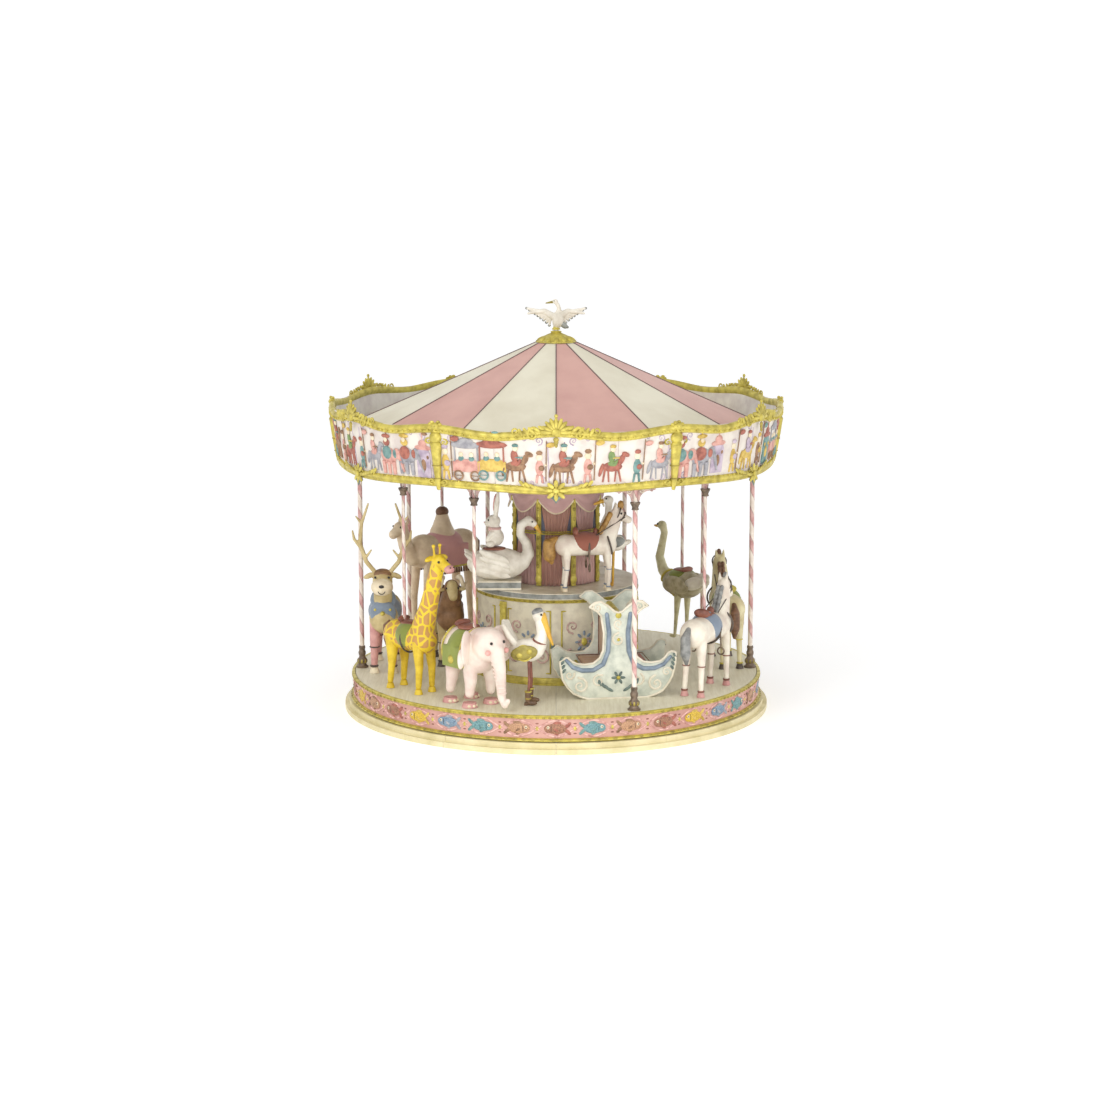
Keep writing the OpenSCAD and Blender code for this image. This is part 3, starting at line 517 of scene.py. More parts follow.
def saddlery(v):  # saddle with horn and cantle, girth strap, blanket roll and stirrups
    girth, back = v["girth"], v["back"]
    belly = back - girth
    cloth = [("ball", (0, 0, belly + 0.035), (0.27, girth * 1.06, girth * 0.99), (0, 0, 0), 24)]
    seatParts = [("ball", (0, 0, back - 0.02), (0.17, girth * 0.62, 0.05)),
                 ("ball", (-0.15, 0, back + 0.035), (0.045, girth * 0.6, 0.07)),
                 ("ball", (0.14, 0, back + 0.03), (0.035, 0.06, 0.06))]
    straps = [("ring", (0.03, 0, belly), girth * 1.0, 0.016, (0, 90, 0), 40),
              ("ring", (v["long"] / 2 - girth * 0.7, 0, belly + 0.02), girth * 0.97, 0.014, (0, 74, 0), 40)]
    stirrups = pair(lambda s: [("rod", (0.02, s * girth * 0.98, belly + 0.05),
                                (0.03, s * girth * 1.02, belly - 0.26), 0.011),
                               ("ring", (0.03, s * girth * 1.02, belly - 0.31), 0.05, 0.012, (90, 0, 90),
                                16)])
    return cloth, seatParts, straps, stirrups


def horseHead(neckTop, muzzle, size=1.0):
    way = Vector(muzzle) - Vector(neckTop)
    tilt = math.degrees(math.atan2(-way.z, way.x))
    mid = (Vector(neckTop) + Vector(muzzle)) / 2
    head = [("ball", neckTop, (0.115 * size, 0.085 * size, 0.115 * size)),
            ("rod", neckTop, muzzle, 0.088 * size, 0.058 * size, 16),
            ("ball", muzzle, (0.072 * size, 0.062 * size, 0.066 * size))]
    head += pair(lambda s: [("rod", (neckTop[0] - 0.03, s * 0.05 * size, neckTop[2] + 0.08 * size),
                             (neckTop[0] - 0.02, s * 0.06 * size, neckTop[2] + 0.2 * size), 0.034 * size,
                             0.008)])
    straps = [("ring", tuple(mid), 0.083 * size, 0.01, (0, tilt + 90, 0), 20),
              ("ring", (neckTop[0] + 0.01, 0, neckTop[2]), 0.11 * size, 0.01, (0, tilt + 80, 0), 20)]
    straps += pair(lambda s: [("rod", (mid[0] + 0.02, s * 0.082 * size, mid[2]),
                               (0.14, s * 0.12, mid[2] - 0.24), 0.008)])
    eyes = pair(lambda s: [("ball", (neckTop[0] + way.x * 0.3, s * 0.075 * size,
                                     neckTop[2] + way.z * 0.3 + 0.035), 0.017)])
    return head, straps, eyes


def maneAlong(points, radius):  # locks of hair laid along a neck
    locks = []
    for k in range(len(points) - 1):
        a, b = Vector(points[k]), Vector(points[k + 1])
        for t in (0.0, 0.33, 0.66):
            p = a.lerp(b, t)
            for s in (-1, 1):
                locks.append(("ball", (p.x, s * radius * 0.7, p.z), (radius, radius * 0.75, radius * 1.15),
                              (0, 20, 0), 10))
    return locks


def tailFall(start, end, thick):
    a, b = Vector(start), Vector(end)
    return [("chain", [tuple(a), tuple(a.lerp(b, 0.3) + Vector((-0.08, 0, 0.03))),
                       tuple(a.lerp(b, 0.7) + Vector((-0.048, 0, 0))), tuple(b)],
             [thick * 0.5, thick * 0.95, thick, thick * 0.35])]


print("finishes and tools ready")

# horses


def carvedHorse(name, v):
    body, limbs, feet, cuffs = beast(v)
    cloth, seatParts, straps, stirrups = saddlery(v)
    head, bridle, eyes = horseHead(v["neck"][-1], v["muzzle"], v.get("headSize", 1.0))
    mane = maneAlong(v["mane"], 0.042)
    mane.append(("ball", (v["neck"][-1][0] + 0.05, 0, v["neck"][-1][2] + 0.12), (0.05, 0.04, 0.07)))
    hair = mane + tailFall(v["tail"][0], v["tail"][1], v["tailThick"])
    groups = [(v["coat"], 0.014, 5, body + head), (v["legs"], 0.014, 3, limbs), (v["hair"], 0.01, 1, hair),
              (v["hoofPaint"], 0, 0, feet), (v["cuffPaint"], 0, 0, cuffs), (v["cloth"], 0, 0, cloth),
              (v["saddle"], 0.008, 3, seatParts), (strapDark, 0, 0, straps + bridle),
              (bronze, 0, 0, stirrups),
              (eyeDark, 0, 0, eyes)]
    piece = model(name, groups)
    place(piece, spot(*v["at"]))
    return piece


whiteHorse = {"long": 1.22, "back": 1.12, "girth": 0.215, "hoof": 0.06, "muzzle": (0.78, 0, 1.29),
              "neck": [(0.42, 0, 1.0), (0.52, 0, 1.22), (0.6, 0, 1.44)], "neckR": [0.16, 0.125, 0.1],
              "mane": [(0.3, 0, 1.12), (0.4, 0, 1.3), (0.5, 0, 1.48)],
              "tail": [(-0.6, 0, 1.0), (-0.66, 0, 0.52)],
              "tailThick": 0.075, "coat": horseWhite, "legs": horseWhite, "hair": hairGrey,
              "hoofPaint": legPink,
              "cuffPaint": leatherBrown, "cloth": blanketBlue, "saddle": leatherBrown,
              "at": (2.15, -1.50, 62, 0.53)}
palomino = dict(whiteHorse, coat=palominoCoat, legs=palominoCoat, hair=hairBrown, hoofPaint=strapDark,
                cuffPaint=gold, cloth=clothOlive, saddle=gold, at=(2.56, 0.33, 97, 0.53))
liftingHorse = dict(whiteHorse, legs=legPink, hair=hairOchre, cloth=clothRed, saddle=leatherBrown,
                    at=(0.2754, 2.0919, 172.5, 0.65))
stageHorse = {"long": 0.9, "back": 0.83, "girth": 0.165, "hoof": 0.046, "muzzle": (0.62, 0, 1.02),
              "headSize": 0.85,
              "neck": [(0.32, 0, 0.76), (0.4, 0, 0.94), (0.46, 0, 1.12)], "neckR": [0.125, 0.1, 0.08],
              "mane": [(0.22, 0, 0.86), (0.3, 0, 1.0), (0.38, 0, 1.15)],
              "tail": [(-0.44, 0, 0.76), (-0.5, 0, 0.42)],
              "tailThick": 0.095, "coat": horseWhite, "legs": horseWhite, "hair": hairOchre,
              "hoofPaint": skinCream,
              "cuffPaint": blanketBlue, "cloth": clothRed, "saddle": leatherBrown,
              "at": (0.43, -0.90, 8, 1.88)}
hold(carvedHorse("whiteHorse", whiteHorse), "carousel", "animal_paint", "white_horse")
hold(carvedHorse("palominoHorse", palomino), "carousel", "animal_paint", "palomino_horse")
hold(carvedHorse("liftingHorse", liftingHorse), "horse_rider", "animal_paint", "lifting_horse")
hold(carvedHorse("stageHorse", stageHorse), "carousel", "animal_paint", "stage_horse")
print("horses done")

# the other four-legged animals

reindeer = {"long": 1.25, "back": 1.06, "girth": 0.235, "hoof": 0.075, "thick": 1.1,
            "neck": [(0.36, 0, 0.98), (0.43, 0, 1.14), (0.48, 0, 1.34)], "neckR": [0.17, 0.14, 0.13]}
body, limbs, feet, cuffs = beast(reindeer)
head = [("ball", (0.5, 0, 1.38), (0.14, 0.15, 0.18), (0, 0, 0), 20),
        ("ball", (-0.62, 0, 1.0), (0.07, 0.05, 0.09))]
ears = pair(lambda s: [("ball", (0.46, s * 0.2, 1.47), (0.035, 0.1, 0.045), (s * -25, 0, 0), 12)])
antlers = pair(lambda s: [("chain", [(0.47, s * 0.09, 1.5), (0.45, s * 0.24, 1.68), (0.44, s * 0.33, 1.95),
                                     (0.46, s * 0.3, 2.25), (0.47, s * 0.2, 2.54)],
                                     [0.034, 0.034, 0.032, 0.026, 0.016]),
                          ("chain", [(0.44, s * 0.33, 1.9), (0.48, s * 0.41, 2.02), (0.52, s * 0.43, 2.15)],
                           [0.026, 0.024, 0.014]),
                          ("chain", [(0.46, s * 0.3, 2.25), (0.5, s * 0.38, 2.36)], [0.024, 0.013]),
                          ("chain", [(0.45, s * 0.26, 1.72), (0.5, s * 0.16, 1.86)], [0.025, 0.014])])
reindeerPiece = model("reindeer", [
    (coatTan, 0.015, 5, body + head + ears), (legPink, 0.014, 3, limbs), (skinCream, 0, 0, feet),
    (strapDark, 0, 0, cuffs), (coatTan, 0.01, 2, antlers),
    (patchBrown, 0.01, 3, [("ball", (0.475, 0, 1.5), (0.12, 0.135, 0.08))]),
    (skinCream, 0.01, 3, [("ball", (0.62, 0, 1.33), (0.14, 0.165, 0.13), (0, 0, 0), 24)]),
    (blanketBlue, 0.012, 3, [("ball", (0.05, 0, 0.87), (0.42, 0.25, 0.215), (0, 0, 0), 24),
                             ("ring", (0.42, 0, 1.1), 0.145, 0.05, (0, 66, 0)),
                             ("ball", (0.5, 0, 0.92), (0.1, 0.2, 0.2))]),
    (gold, 0, 0, [("ball", (0.6, 0, 0.93), 0.035)] + pair(lambda s: [("ball", (0.57, s * 0.11, 0.98),
        0.022)])),
    (eyeDark, 0, 0, pair(lambda s: [("ball", (0.61, s * 0.1, 1.47), 0.019)]) + [
        ("ball", (0.76, 0, 1.36), (0.015, 0.04, 0.025)), ("ring", (0.738, 0, 1.295), 0.05, 0.006,
                                                          (0, 80, 0))])])
place(reindeerPiece, spot(-2.55, 0.05, -90, 0.53))
hold(reindeerPiece, "carousel", "animal_paint", "reindeer")

giraffe = {"long": 0.96, "back": 1.0, "girth": 0.215, "hoof": 0.062, "thick": 1.15,
           "neck": [(0.27, 0, 0.95), (0.4, 0, 1.3), (0.5, 0, 1.62), (0.6, 0, 1.92)],
           "neckR": [0.17, 0.13, 0.11, 0.1]}
body, limbs, feet, cuffs = beast(giraffe)
head = [("ball", (0.62, 0, 1.95), (0.12, 0.1, 0.11)), ("rod", (0.64, 0, 1.94), (0.8, 0, 1.88), 0.085, 0.07)]
ears = pair(lambda s: [("ball", (0.56, s * 0.14, 2.0), (0.035, 0.085, 0.04), (s * -15, 0, 0), 12),
                       ("rod", (0.58, s * 0.05, 2.02), (0.57, s * 0.06, 2.16), 0.02, 0.016),
                       ("ball", (0.57, s * 0.06, 2.175), 0.03)])
mane = [("ball", (0.16 + 0.055 * k, 0, 1.12 + 0.082 * k), (0.045, 0.028, 0.06), (0, 25, 0), 10)
        for k in range(11)]
giraffePiece = model("giraffe", [
    (giraffeCoat, 0.014, 5, body), (giraffeYellow, 0.012, 3, limbs + head + ears),
    (giraffeYellow, 0, 0, feet),
    (bootBrown, 0.01, 1, mane), (hairBrown, 0.01, 1, tailFall((-0.46, 0, 0.95), (-0.52, 0, 0.55), 0.03)),
    (legPink, 0.01, 3, [("ball", (0.83, 0, 1.87), (0.075, 0.08, 0.065))]),
    (clothOlive, 0, 0, [("ball", (0.0, 0, 0.81), (0.22, 0.228, 0.212), (0, 0, 0), 24)]),
    (leatherBrown, 0.01, 2, [("ball", (-0.02, 0, 0.985), (0.15, 0.13, 0.04)),
                             ("ball", (-0.14, 0, 1.03), (0.04, 0.12, 0.05))]),
    (strapDark, 0, 0, [("ring", (0.02, 0, 0.78), 0.22, 0.013, (0, 90, 0), 40)]),
    (eyeDark, 0, 0, pair(lambda s: [("ball", (0.7, s * 0.082, 1.965), 0.018),
                                    ("ball", (0.885, s * 0.03, 1.9), 0.012)]))])
place(giraffePiece, spot(-2.087, -1.459, -45, 0.53))
hold(giraffePiece, "carousel", "animal_paint", "giraffe")

elephant = {"long": 0.96, "back": 1.08, "girth": 0.315, "hoof": 0.115, "thick": 0.95,
            "neck": [(0.2, 0, 0.85), (0.38, 0, 0.9)], "neckR": [0.26, 0.22]}
body, limbs, feet, cuffs = beast(elephant)
head = [("ball", (0.42, 0, 0.9), (0.22, 0.25, 0.25), (0, 0, 0), 24),
        ("ball", (0.36, 0, 1.04), (0.15, 0.2, 0.1))]
trunkPath = [(0.57, 0, 0.84), (0.66, 0, 0.62), (0.68, 0, 0.4), (0.7, 0, 0.2), (0.77, 0, 0.1), (0.83, 0, 0.17)]
trunk = [("chain", trunkPath, [0.12, 0.088, 0.075, 0.06, 0.05, 0.04], 18)]
rings = [("ring", (0.6 + 0.012 * k, 0, 0.76 - 0.055 * k), 0.098 - 0.0045 * k, 0.011, (0, 5, 0), 20)
         for k in range(10)]
ears = pair(lambda s: [("ball", (0.3, s * 0.31, 0.88), (0.04, 0.19, 0.25), (0, 0, s * -32), 24),
                       ("ball", (0.27, s * 0.38, 0.72), (0.035, 0.11, 0.15), (0, 0, s * -32), 18)])
nails = [("ball", (x + 0.09 * cos(a), y + 0.09 * sin(a), 0.03), (0.03, 0.03, 0.026))
         for x in (-0.215, 0.215) for y in (-0.19, 0.19) for a in (-0.7, 0.0, 0.7)]
elephantPiece = model("elephant", [
    (elephantSkin, 0.015, 5, body + head + trunk + limbs + ears), (elephantSkin, 0, 0, rings),
    (legPink, 0, 0, [("rod", f[1], (f[2][0], f[2][1], 0.07), f[3] * 1.0, f[4] * 1.15, 16, False)
                     for f in feet]),
    (skinCream, 0, 0, nails), (cheekRose, 0, 0, pair(lambda s: [("ball", (0.6, s * 0.16, 0.83),
        (0.03, 0.045, 0.04))])),
    (clothOlive, 0.012, 3, [("ball", (-0.03, 0, 0.78), (0.3, 0.335, 0.315), (0, 0, 0), 28),
                            ("block", (-0.03, 0, 0.7), (0.4, 0.655, 0.3))]),
    (gold, 0, 0, [("ring", (-0.03 + s * 0.2, 0, 0.77), 0.325, 0.014, (0, 90, 0), 48) for s in (-1, 1)]
     + pair(lambda s: [("ball", (-0.03, s * 0.325, 0.66), (0.06, 0.03, 0.06))])),
    (leatherBrown, 0.01, 3, [("ball", (-0.03, 0, 1.085), (0.16, 0.17, 0.045)),
                             ("ball", (-0.17, 0, 1.12), (0.04, 0.15, 0.06))]),
    (hairBrown, 0.01, 1, tailFall((-0.46, 0, 0.86), (-0.52, 0, 0.5), 0.022)),
    (eyeDark, 0, 0, pair(lambda s: [("ball", (0.615, s * 0.11, 0.96), 0.022)]))])
place(elephantPiece, spot(-1.204, -2.237, -50, 0.53))
hold(elephantPiece, "carousel", "animal_paint", "elephant")

ram = {"long": 1.1, "back": 1.0, "girth": 0.24, "hoof": 0.06,
       "neck": [(0.36, 0, 0.92), (0.44, 0, 1.08), (0.5, 0, 1.24)], "neckR": [0.18, 0.15, 0.11]}
body, limbs, feet, cuffs = beast(ram)
horn = pair(lambda s: [("chain", [(0.46 + 0.1 * cos(a) * (1 - k / 15), s * (0.12 + 0.012 * k), 1.28
                                   + 0.1 * sin(a) * (1 - k / 15))
                                  for k, a in ((k, 2.2 - k * 0.62) for k in range(11))],
                        [0.042 - 0.0028 * k for k in range(11)])])
wool = [("ball", (0.3 + 0.06 * (k % 4) - 0.02 * (k // 4), 0.13 * cos(k * 2.4), 0.92 + 0.028 * k), 0.075)
        for k in range(12)]
ramPiece = model("ram", [
    (patchBrown, 0.015, 5, body), (coatTan, 0.014, 3, limbs), (strapDark, 0, 0, feet + cuffs),
    (hairBrown, 0.012, 2, wool), (skinCream, 0.01, 2, horn),
    (coatTan, 0.012, 3, [("rod", (0.52, 0, 1.25), (0.68, 0, 1.12), 0.095, 0.065, 16)]
     + pair(lambda s: [("ball", (0.5, s * 0.15, 1.2), (0.035, 0.07, 0.03))])),
    (blanketPink, 0, 0, [("ball", (0, 0, 0.79), (0.28, 0.25, 0.235), (0, 0, 0), 24)]),
    (leatherBrown, 0.01, 2, [("ball", (0, 0, 0.985), (0.16, 0.14, 0.045))]),
    (eyeDark, 0, 0, pair(lambda s: [("ball", (0.58, s * 0.085, 1.23), 0.017)]))])
place(ramPiece, spot(-1.64, 0.42, -80, 0.53))
hold(ramPiece, "carousel", "animal_paint", "ram")

camel = {"long": 1.33, "back": 1.64, "girth": 0.265, "hoof": 0.08, "thick": 0.85,
         "neck": [(0.42, 0, 1.4), (0.62, 0, 1.3), (0.76, 0, 1.5), (0.84, 0, 1.76)],
         "neckR": [0.17, 0.13, 0.11, 0.1]}
body, limbs, feet, cuffs = beast(camel)
head = [("ball", (0.86, 0, 1.79), (0.13, 0.1, 0.11)), ("rod", (0.88, 0, 1.78), (1.01, 0, 1.71), 0.09, 0.075)]
ears = pair(lambda s: [("ball", (0.8, s * 0.09, 1.89), (0.03, 0.025, 0.05))])
camelPiece = model("camel", [
    (camelCoat, 0.016, 5, body + head + ears + [("rod", (0, 0, 1.6), (0, 0, 1.88), 0.2, 0.1, 20)]),
    (camelCoat, 0.014, 3, limbs), (strapDark, 0, 0, feet), (hairBrown, 0.012, 2, [
        ("ball", (0, 0, 1.95), (0.11, 0.1, 0.085))] + tailFall((-0.66, 0, 1.5), (-0.7, 0, 1.02), 0.04)),
    (blanketPink, 0.014, 3, [("ball", (0, 0, 1.4), (0.42, 0.285, 0.27), (0, 0, 0), 28),
                             ("block", (0, 0, 1.28), (0.62, 0.55, 0.36))]),
    (hairBrown, 0, 0, pair(lambda s: [("rod", (-0.3 + 0.05 * k, s * 0.27, 1.1),
                                       (-0.3 + 0.05 * k, s * 0.275, 1.02),
                                       0.014, 0.018, 6, False) for k in range(13)])),
    (gold, 0, 0, pair(lambda s: [("rod", (-0.33, s * 0.275, 1.12), (0.33, s * 0.275, 1.12), 0.014)])),
    (eyeDark, 0, 0, pair(lambda s: [("ball", (0.93, s * 0.085, 1.82), 0.018)]))])
place(camelPiece, spot(-1.768, 1.768, 225, 0.65))
hold(camelPiece, "camel_rider", "animal_paint", "camel")
print("animals done")

# birds, rabbit and swan carriage

fan = [("chain", [(-0.18, 0.02 * k, 0.82), (-0.3, 0.045 * k, 1.0),
                  (-0.38 + 0.012 * abs(k), 0.07 * k, 1.17 - 0.015 * abs(k))],
        [0.05, 0.045, 0.034]) for k in (-2, -1, 0, 1, 2)]
legs = pair(lambda s: [("rod", (-0.01, s * 0.07, 0.62), (0.0, s * 0.09, 0.36), 0.022, 0.017),
                       ("rod", (0.0, s * 0.09, 0.36), (-0.01, s * 0.1, 0.16), 0.02, 0.016)])
boots = pair(lambda s: [("rod", (-0.02, s * 0.1, 0.05), (-0.015, s * 0.1, 0.2), 0.034, 0.045, 14, False),
                        ("ball", (0.035, s * 0.1, 0.038), (0.08, 0.036, 0.035)),
                        ("block", (-0.045, s * 0.1, 0.022), (0.045, 0.05, 0.04))])
bootTops = pair(lambda s: [("ring", (-0.015, s * 0.1, 0.2), 0.043, 0.01),
                           ("ring", (-0.017, s * 0.1, 0.1), 0.036, 0.008)])
wings = pair(lambda s: [("ball", (-0.06, s * 0.16, 0.76), (0.2, 0.035, 0.115), (s * -8, -12, 0), 20)])
wingEdge = pair(lambda s: [("ring", (-0.06, s * 0.165, 0.76), 0.11, 0.012, (90, 0, 0), 28),
                           ("ball", (0.02, s * 0.19, 0.79), (0.04, 0.02, 0.04)),
                           ("ball", (-0.12, s * 0.185, 0.73), (0.045, 0.02, 0.04))])
storkPiece = model("stork", [
    (featherWhite, 0.012, 4, [("ball", (-0.05, 0, 0.77), (0.26, 0.165, 0.17), (0, -8, 0), 24),
                              ("chain", [(0.12, 0, 0.84), (0.17, 0, 1.0), (0.13, 0, 1.24)],
                               [0.11, 0.075, 0.07], 16),
                              ("ball", (0.12, 0, 1.27), 0.092)]),
    (featherWhite, 0.01, 2, fan), (wingOlive, 0.01, 2, wings), (gold, 0, 0, wingEdge),
    (hairGrey, 0.01, 2, [("ball", (0.1, 0, 1.325), (0.085, 0.08, 0.055), (0, -20, 0))]),
    (billOrange, 0.008, 2, [("rod", (0.16, 0, 1.26), (0.32, 0, 0.86), 0.072, 0.014, 16)]),
    (leatherBrown, 0, 0, legs + [("ring", (0.13, 0, 0.9), 0.09, 0.016, (0, 20, 0))]),
    (bootBrown, 0, 0, boots),
    (gold, 0, 0, bootTops),
    (eyeDark, 0, 0, pair(lambda s: [("ball", (0.17, s * 0.078, 1.3), 0.016)]))])
place(storkPiece, spot(-0.36, -2.33, -10, 0.53))
hold(storkPiece, "carousel", "animal_paint", "stork")

plumes = [("ball", (-0.36 - 0.05 * (k % 3), 0.09 * cos(k * 2.1), 0.94 + 0.06 * sin(k * 1.7)),
           (0.16, 0.06, 0.075),
           (0, 18, 25 * cos(k * 2.1)), 12) for k in range(9)]
wings = pair(lambda s: [("ball", (-0.04, s * 0.2, 0.86), (0.27, 0.055, 0.15), (s * -10, 8, 0), 20),
                        ("ball", (-0.22, s * 0.2, 0.82), (0.16, 0.045, 0.08), (s * -10, 14, 0), 16)])
legs = pair(lambda s: [("rod", (-0.02, s * 0.1, 0.68), (0.0, s * 0.11, 0.36), 0.06, 0.034),
                       ("rod", (0.0, s * 0.11, 0.36), (0.02, s * 0.12, 0.05), 0.034, 0.024),
                       ("ball", (0.07, s * 0.12, 0.03), (0.075, 0.03, 0.028))])
ostrichPiece = model("ostrich", [
    (plumageTan, 0.015, 4, [("ball", (-0.02, 0, 0.855), (0.4, 0.225, 0.225), (0, 0, 0), 28)]),
    (neckTan, 0.012, 4, [("chain", [(0.3, 0, 0.92), (0.44, 0, 1.0), (0.53, 0, 1.2), (0.47, 0, 1.42),
                                    (0.42, 0, 1.6),
                                    (0.46, 0, 1.7)], [0.11, 0.085, 0.068, 0.06, 0.055, 0.06], 16),
                         ("ball", (0.48, 0, 1.71), (0.085, 0.07, 0.07))]),
    (featherWhite, 0.01, 2, plumes), (plumageTan, 0.01, 2, wings), (neckTan, 0.01, 2, legs),
    (billOrange, 0.008, 2, [("ball", (0.59, 0, 1.685), (0.075, 0.04, 0.022))]),
    (clothOlive, 0.01, 2, [("ball", (0, 0, 1.0), (0.2, 0.21, 0.09), (0, 0, 0), 24)]),
    (leatherBrown, 0.01, 2, [("ball", (0, 0, 1.065), (0.15, 0.13, 0.04)),
                             ("ball", (-0.12, 0, 1.09), (0.04, 0.12, 0.05))]),
    (gold, 0, 0, [("ring", (0.02, 0, 0.855), 0.232, 0.012, (0, 90, 0), 40),
                  ("ring", (0.33, 0, 0.93), 0.12, 0.016, (0, 60, 0))]),
    (eyeDark, 0, 0, pair(lambda s: [("ball", (0.51, s * 0.062, 1.73), 0.017)]))])
place(ostrichPiece, spot(1.951, 1.563, 128.7, 0.65))
hold(ostrichPiece, "ostrich_rider", "animal_paint", "ostrich")

legs = pair(lambda s: [("rod", (-0.02, s * 0.06, 0.56), (-0.01, s * 0.06, 0.03), 0.022, 0.016),
                       ("ball", (0.03, s * 0.06, 0.018), (0.055, 0.03, 0.016))])
stageBird = model("stageBird", [
    (featherWhite, 0.01, 3, [("ball", (-0.01, 0, 0.65), (0.2, 0.13, 0.13), (0, -12, 0), 20),
                             ("chain", [(0.1, 0, 0.72), (0.13, 0, 0.9), (0.06, 0, 1.06), (0.05, 0, 1.22)],
                              [0.075, 0.055, 0.05, 0.055], 14),
                              ("ball", (0.06, 0, 1.27), (0.08, 0.068, 0.068)),
                             ("ball", (-0.2, 0, 0.64), (0.09, 0.06, 0.04), (0, 20, 0))]),
    (featherGrey, 0.01, 2, pair(lambda s: [("ball", (-0.04, s * 0.11, 0.66), (0.15, 0.03, 0.08),
                                            (0, 14, 0))])),
    (billOrange, 0.008, 2, [("rod", (0.1, 0, 1.27), (0.26, 0, 1.21), 0.036, 0.018)] + legs),
    (clothRed, 0, 0, [("ring", (0.125, 0, 0.83), 0.07, 0.018, (0, 20, 0))]),
    (eyeDark, 0, 0, pair(lambda s: [("ball", (0.09, s * 0.06, 1.3), 0.014)]))])
place(stageBird, spot(0.82, -0.56, 180, 1.88))
hold(stageBird, "carousel", "animal_paint", "stage_bird")

feathers = pair(lambda s: [("ball", (0.02 - 0.075 * k, s * (0.22 - 0.01 * j), 0.47 - 0.085 * j + 0.02 * k),
                            (0.13, 0.028, 0.045), (0, 30 - 8 * j, s * 6), 14) for j in range(4)
                            for k in range(4)])
tailFan = [("ball", (-0.44, 0.06 * k, 0.5 - 0.012 * k * k), (0.13, 0.04, 0.032), (0, 38, 10 * k), 12)
           for k in (-2, -1, 0, 1, 2)]
swanNeck = [(0.3, 0, 0.38), (0.4, 0, 0.5), (0.37, 0, 0.66), (0.28, 0, 0.79), (0.29, 0, 0.93), (0.4, 0, 1.0)]
swan = model("swanCarriage", [
    (featherWhite, 0.012, 4, [("ball", (-0.06, 0, 0.36), (0.44, 0.235, 0.24), (0, 0, 0), 28),
                              ("chain", swanNeck, [0.12, 0.085, 0.07, 0.06, 0.06, 0.065], 18),
                              ("rod", (0.4, 0, 0.99), (0.48, 0, 0.94), 0.072, 0.05, 16)]),
    (featherWhite, 0.008, 1, feathers + tailFan),
    (featherGrey, 0, 0, [("block", (-0.02, 0, 0.062), (0.62, 0.42, 0.118))]),
    (ivory, 0, 0, [("block", (-0.02, 0, 0.126), (0.63, 0.43, 0.018)),
                   ("block", (-0.02, 0, 0.02), (0.63, 0.43, 0.03))]),
    (billOrange, 0.007, 2, [("rod", (0.5, 0, 0.92), (0.575, 0, 0.81), 0.04, 0.016)]),
    (hairGrey, 0.007, 1, [("ball", (0.49, 0, 0.945), (0.035, 0.045, 0.03))]),
    (leatherBrown, 0.01, 3, [("ball", (-0.1, 0, 0.585), (0.18, 0.14, 0.03))]),
    (eyeDark, 0, 0, pair(lambda s: [("ball", (0.455, s * 0.06, 0.985), 0.013)]))])
place(swan, spot(-0.80, -0.72, 0, 1.88))
hold(swan, "carousel", "animal_paint", "swan_carriage")

rabbitPiece = model("rabbit", [
    (featherWhite, 0.01, 4, [("ball", (0, 0, 0.75), (0.115, 0.11, 0.13)),
                             ("rod", (0.01, 0, 0.8), (0.02, 0, 0.9), 0.095, 0.075),
                             ("ball", (0.04, 0, 0.985), (0.105, 0.095, 0.095), (0, 0, 0), 20),
                             ("ball", (0.115, 0, 0.955), (0.06, 0.06, 0.048))]
     + pair(lambda s: [("chain", [(0.01, s * 0.045, 1.05), (-0.01, s * 0.07, 1.25), (-0.03, s * 0.085, 1.42)],
                        [0.035, 0.042, 0.018]),
                       ("rod", (0.05, s * 0.08, 0.82), (0.13, s * 0.06, 0.72), 0.036, 0.03),
                       ("ball", (0.08, s * 0.1, 0.66), (0.07, 0.045, 0.045))])),
    (cheekRose, 0, 0, pair(lambda s: [("ball", (0.01, s * 0.066, 1.25), (0.034, 0.018, 0.13), (0, -5, 0))])
     + [("ball", (0.172, 0, 0.97), (0.012, 0.016, 0.01))]),
    (velvetMauve, 0.007, 2, [("ring", (0.02, 0, 0.885), 0.075, 0.022),
                             ("ball", (0.1, 0.03, 0.87), (0.02, 0.04, 0.028)),
                             ("ball", (0.1, -0.03, 0.87), (0.02, 0.04, 0.028))]),
    (eyeDark, 0, 0, pair(lambda s: [("ball", (0.11, s * 0.062, 1.01), 0.014)]))])
place(rabbitPiece, spot(-0.87, -0.72, 180, 1.88))
hold(rabbitPiece, "carousel", "animal_paint", "rabbit")
print("birds and stage figures done")

# chariot: carved sides, two seats back to back, scrolls and bands

chariot = {"at": (0.82, -1.60, 9, 0.53)}
outline = [(-0.84, 0.56), (-0.82, 0.42), (-0.8, 0.3), (-0.73, 0.18), (-0.64, 0.09), (-0.54, 0.04),
           (-0.42, 0.004), (0.42, 0.004),
           (0.54, 0.04), (0.64, 0.09), (0.72, 0.19), (0.78, 0.3), (0.82, 0.46), (0.83, 0.64), (0.775, 0.66),
           (0.72, 0.64),
           (0.67, 0.57), (0.6, 0.52), (0.48, 0.505), (0.36, 0.52), (0.27, 0.59), (0.22, 0.7), (0.21, 0.95),
           (0.25, 1.2),
           (0.32, 1.28), (0.42, 1.33), (0.34, 1.395), (0.25, 1.405), (0.15, 1.34), (0.06, 1.26), (0, 1.24),
           (-0.06, 1.26),
           (-0.15, 1.34), (-0.25, 1.405), (-0.34, 1.395), (-0.42, 1.33), (-0.32, 1.28), (-0.25, 1.2),
           (-0.21, 0.95),
           (-0.22, 0.7), (-0.27, 0.59), (-0.36, 0.52), (-0.48, 0.505), (-0.6, 0.52), (-0.67, 0.56),
           (-0.74, 0.62)]


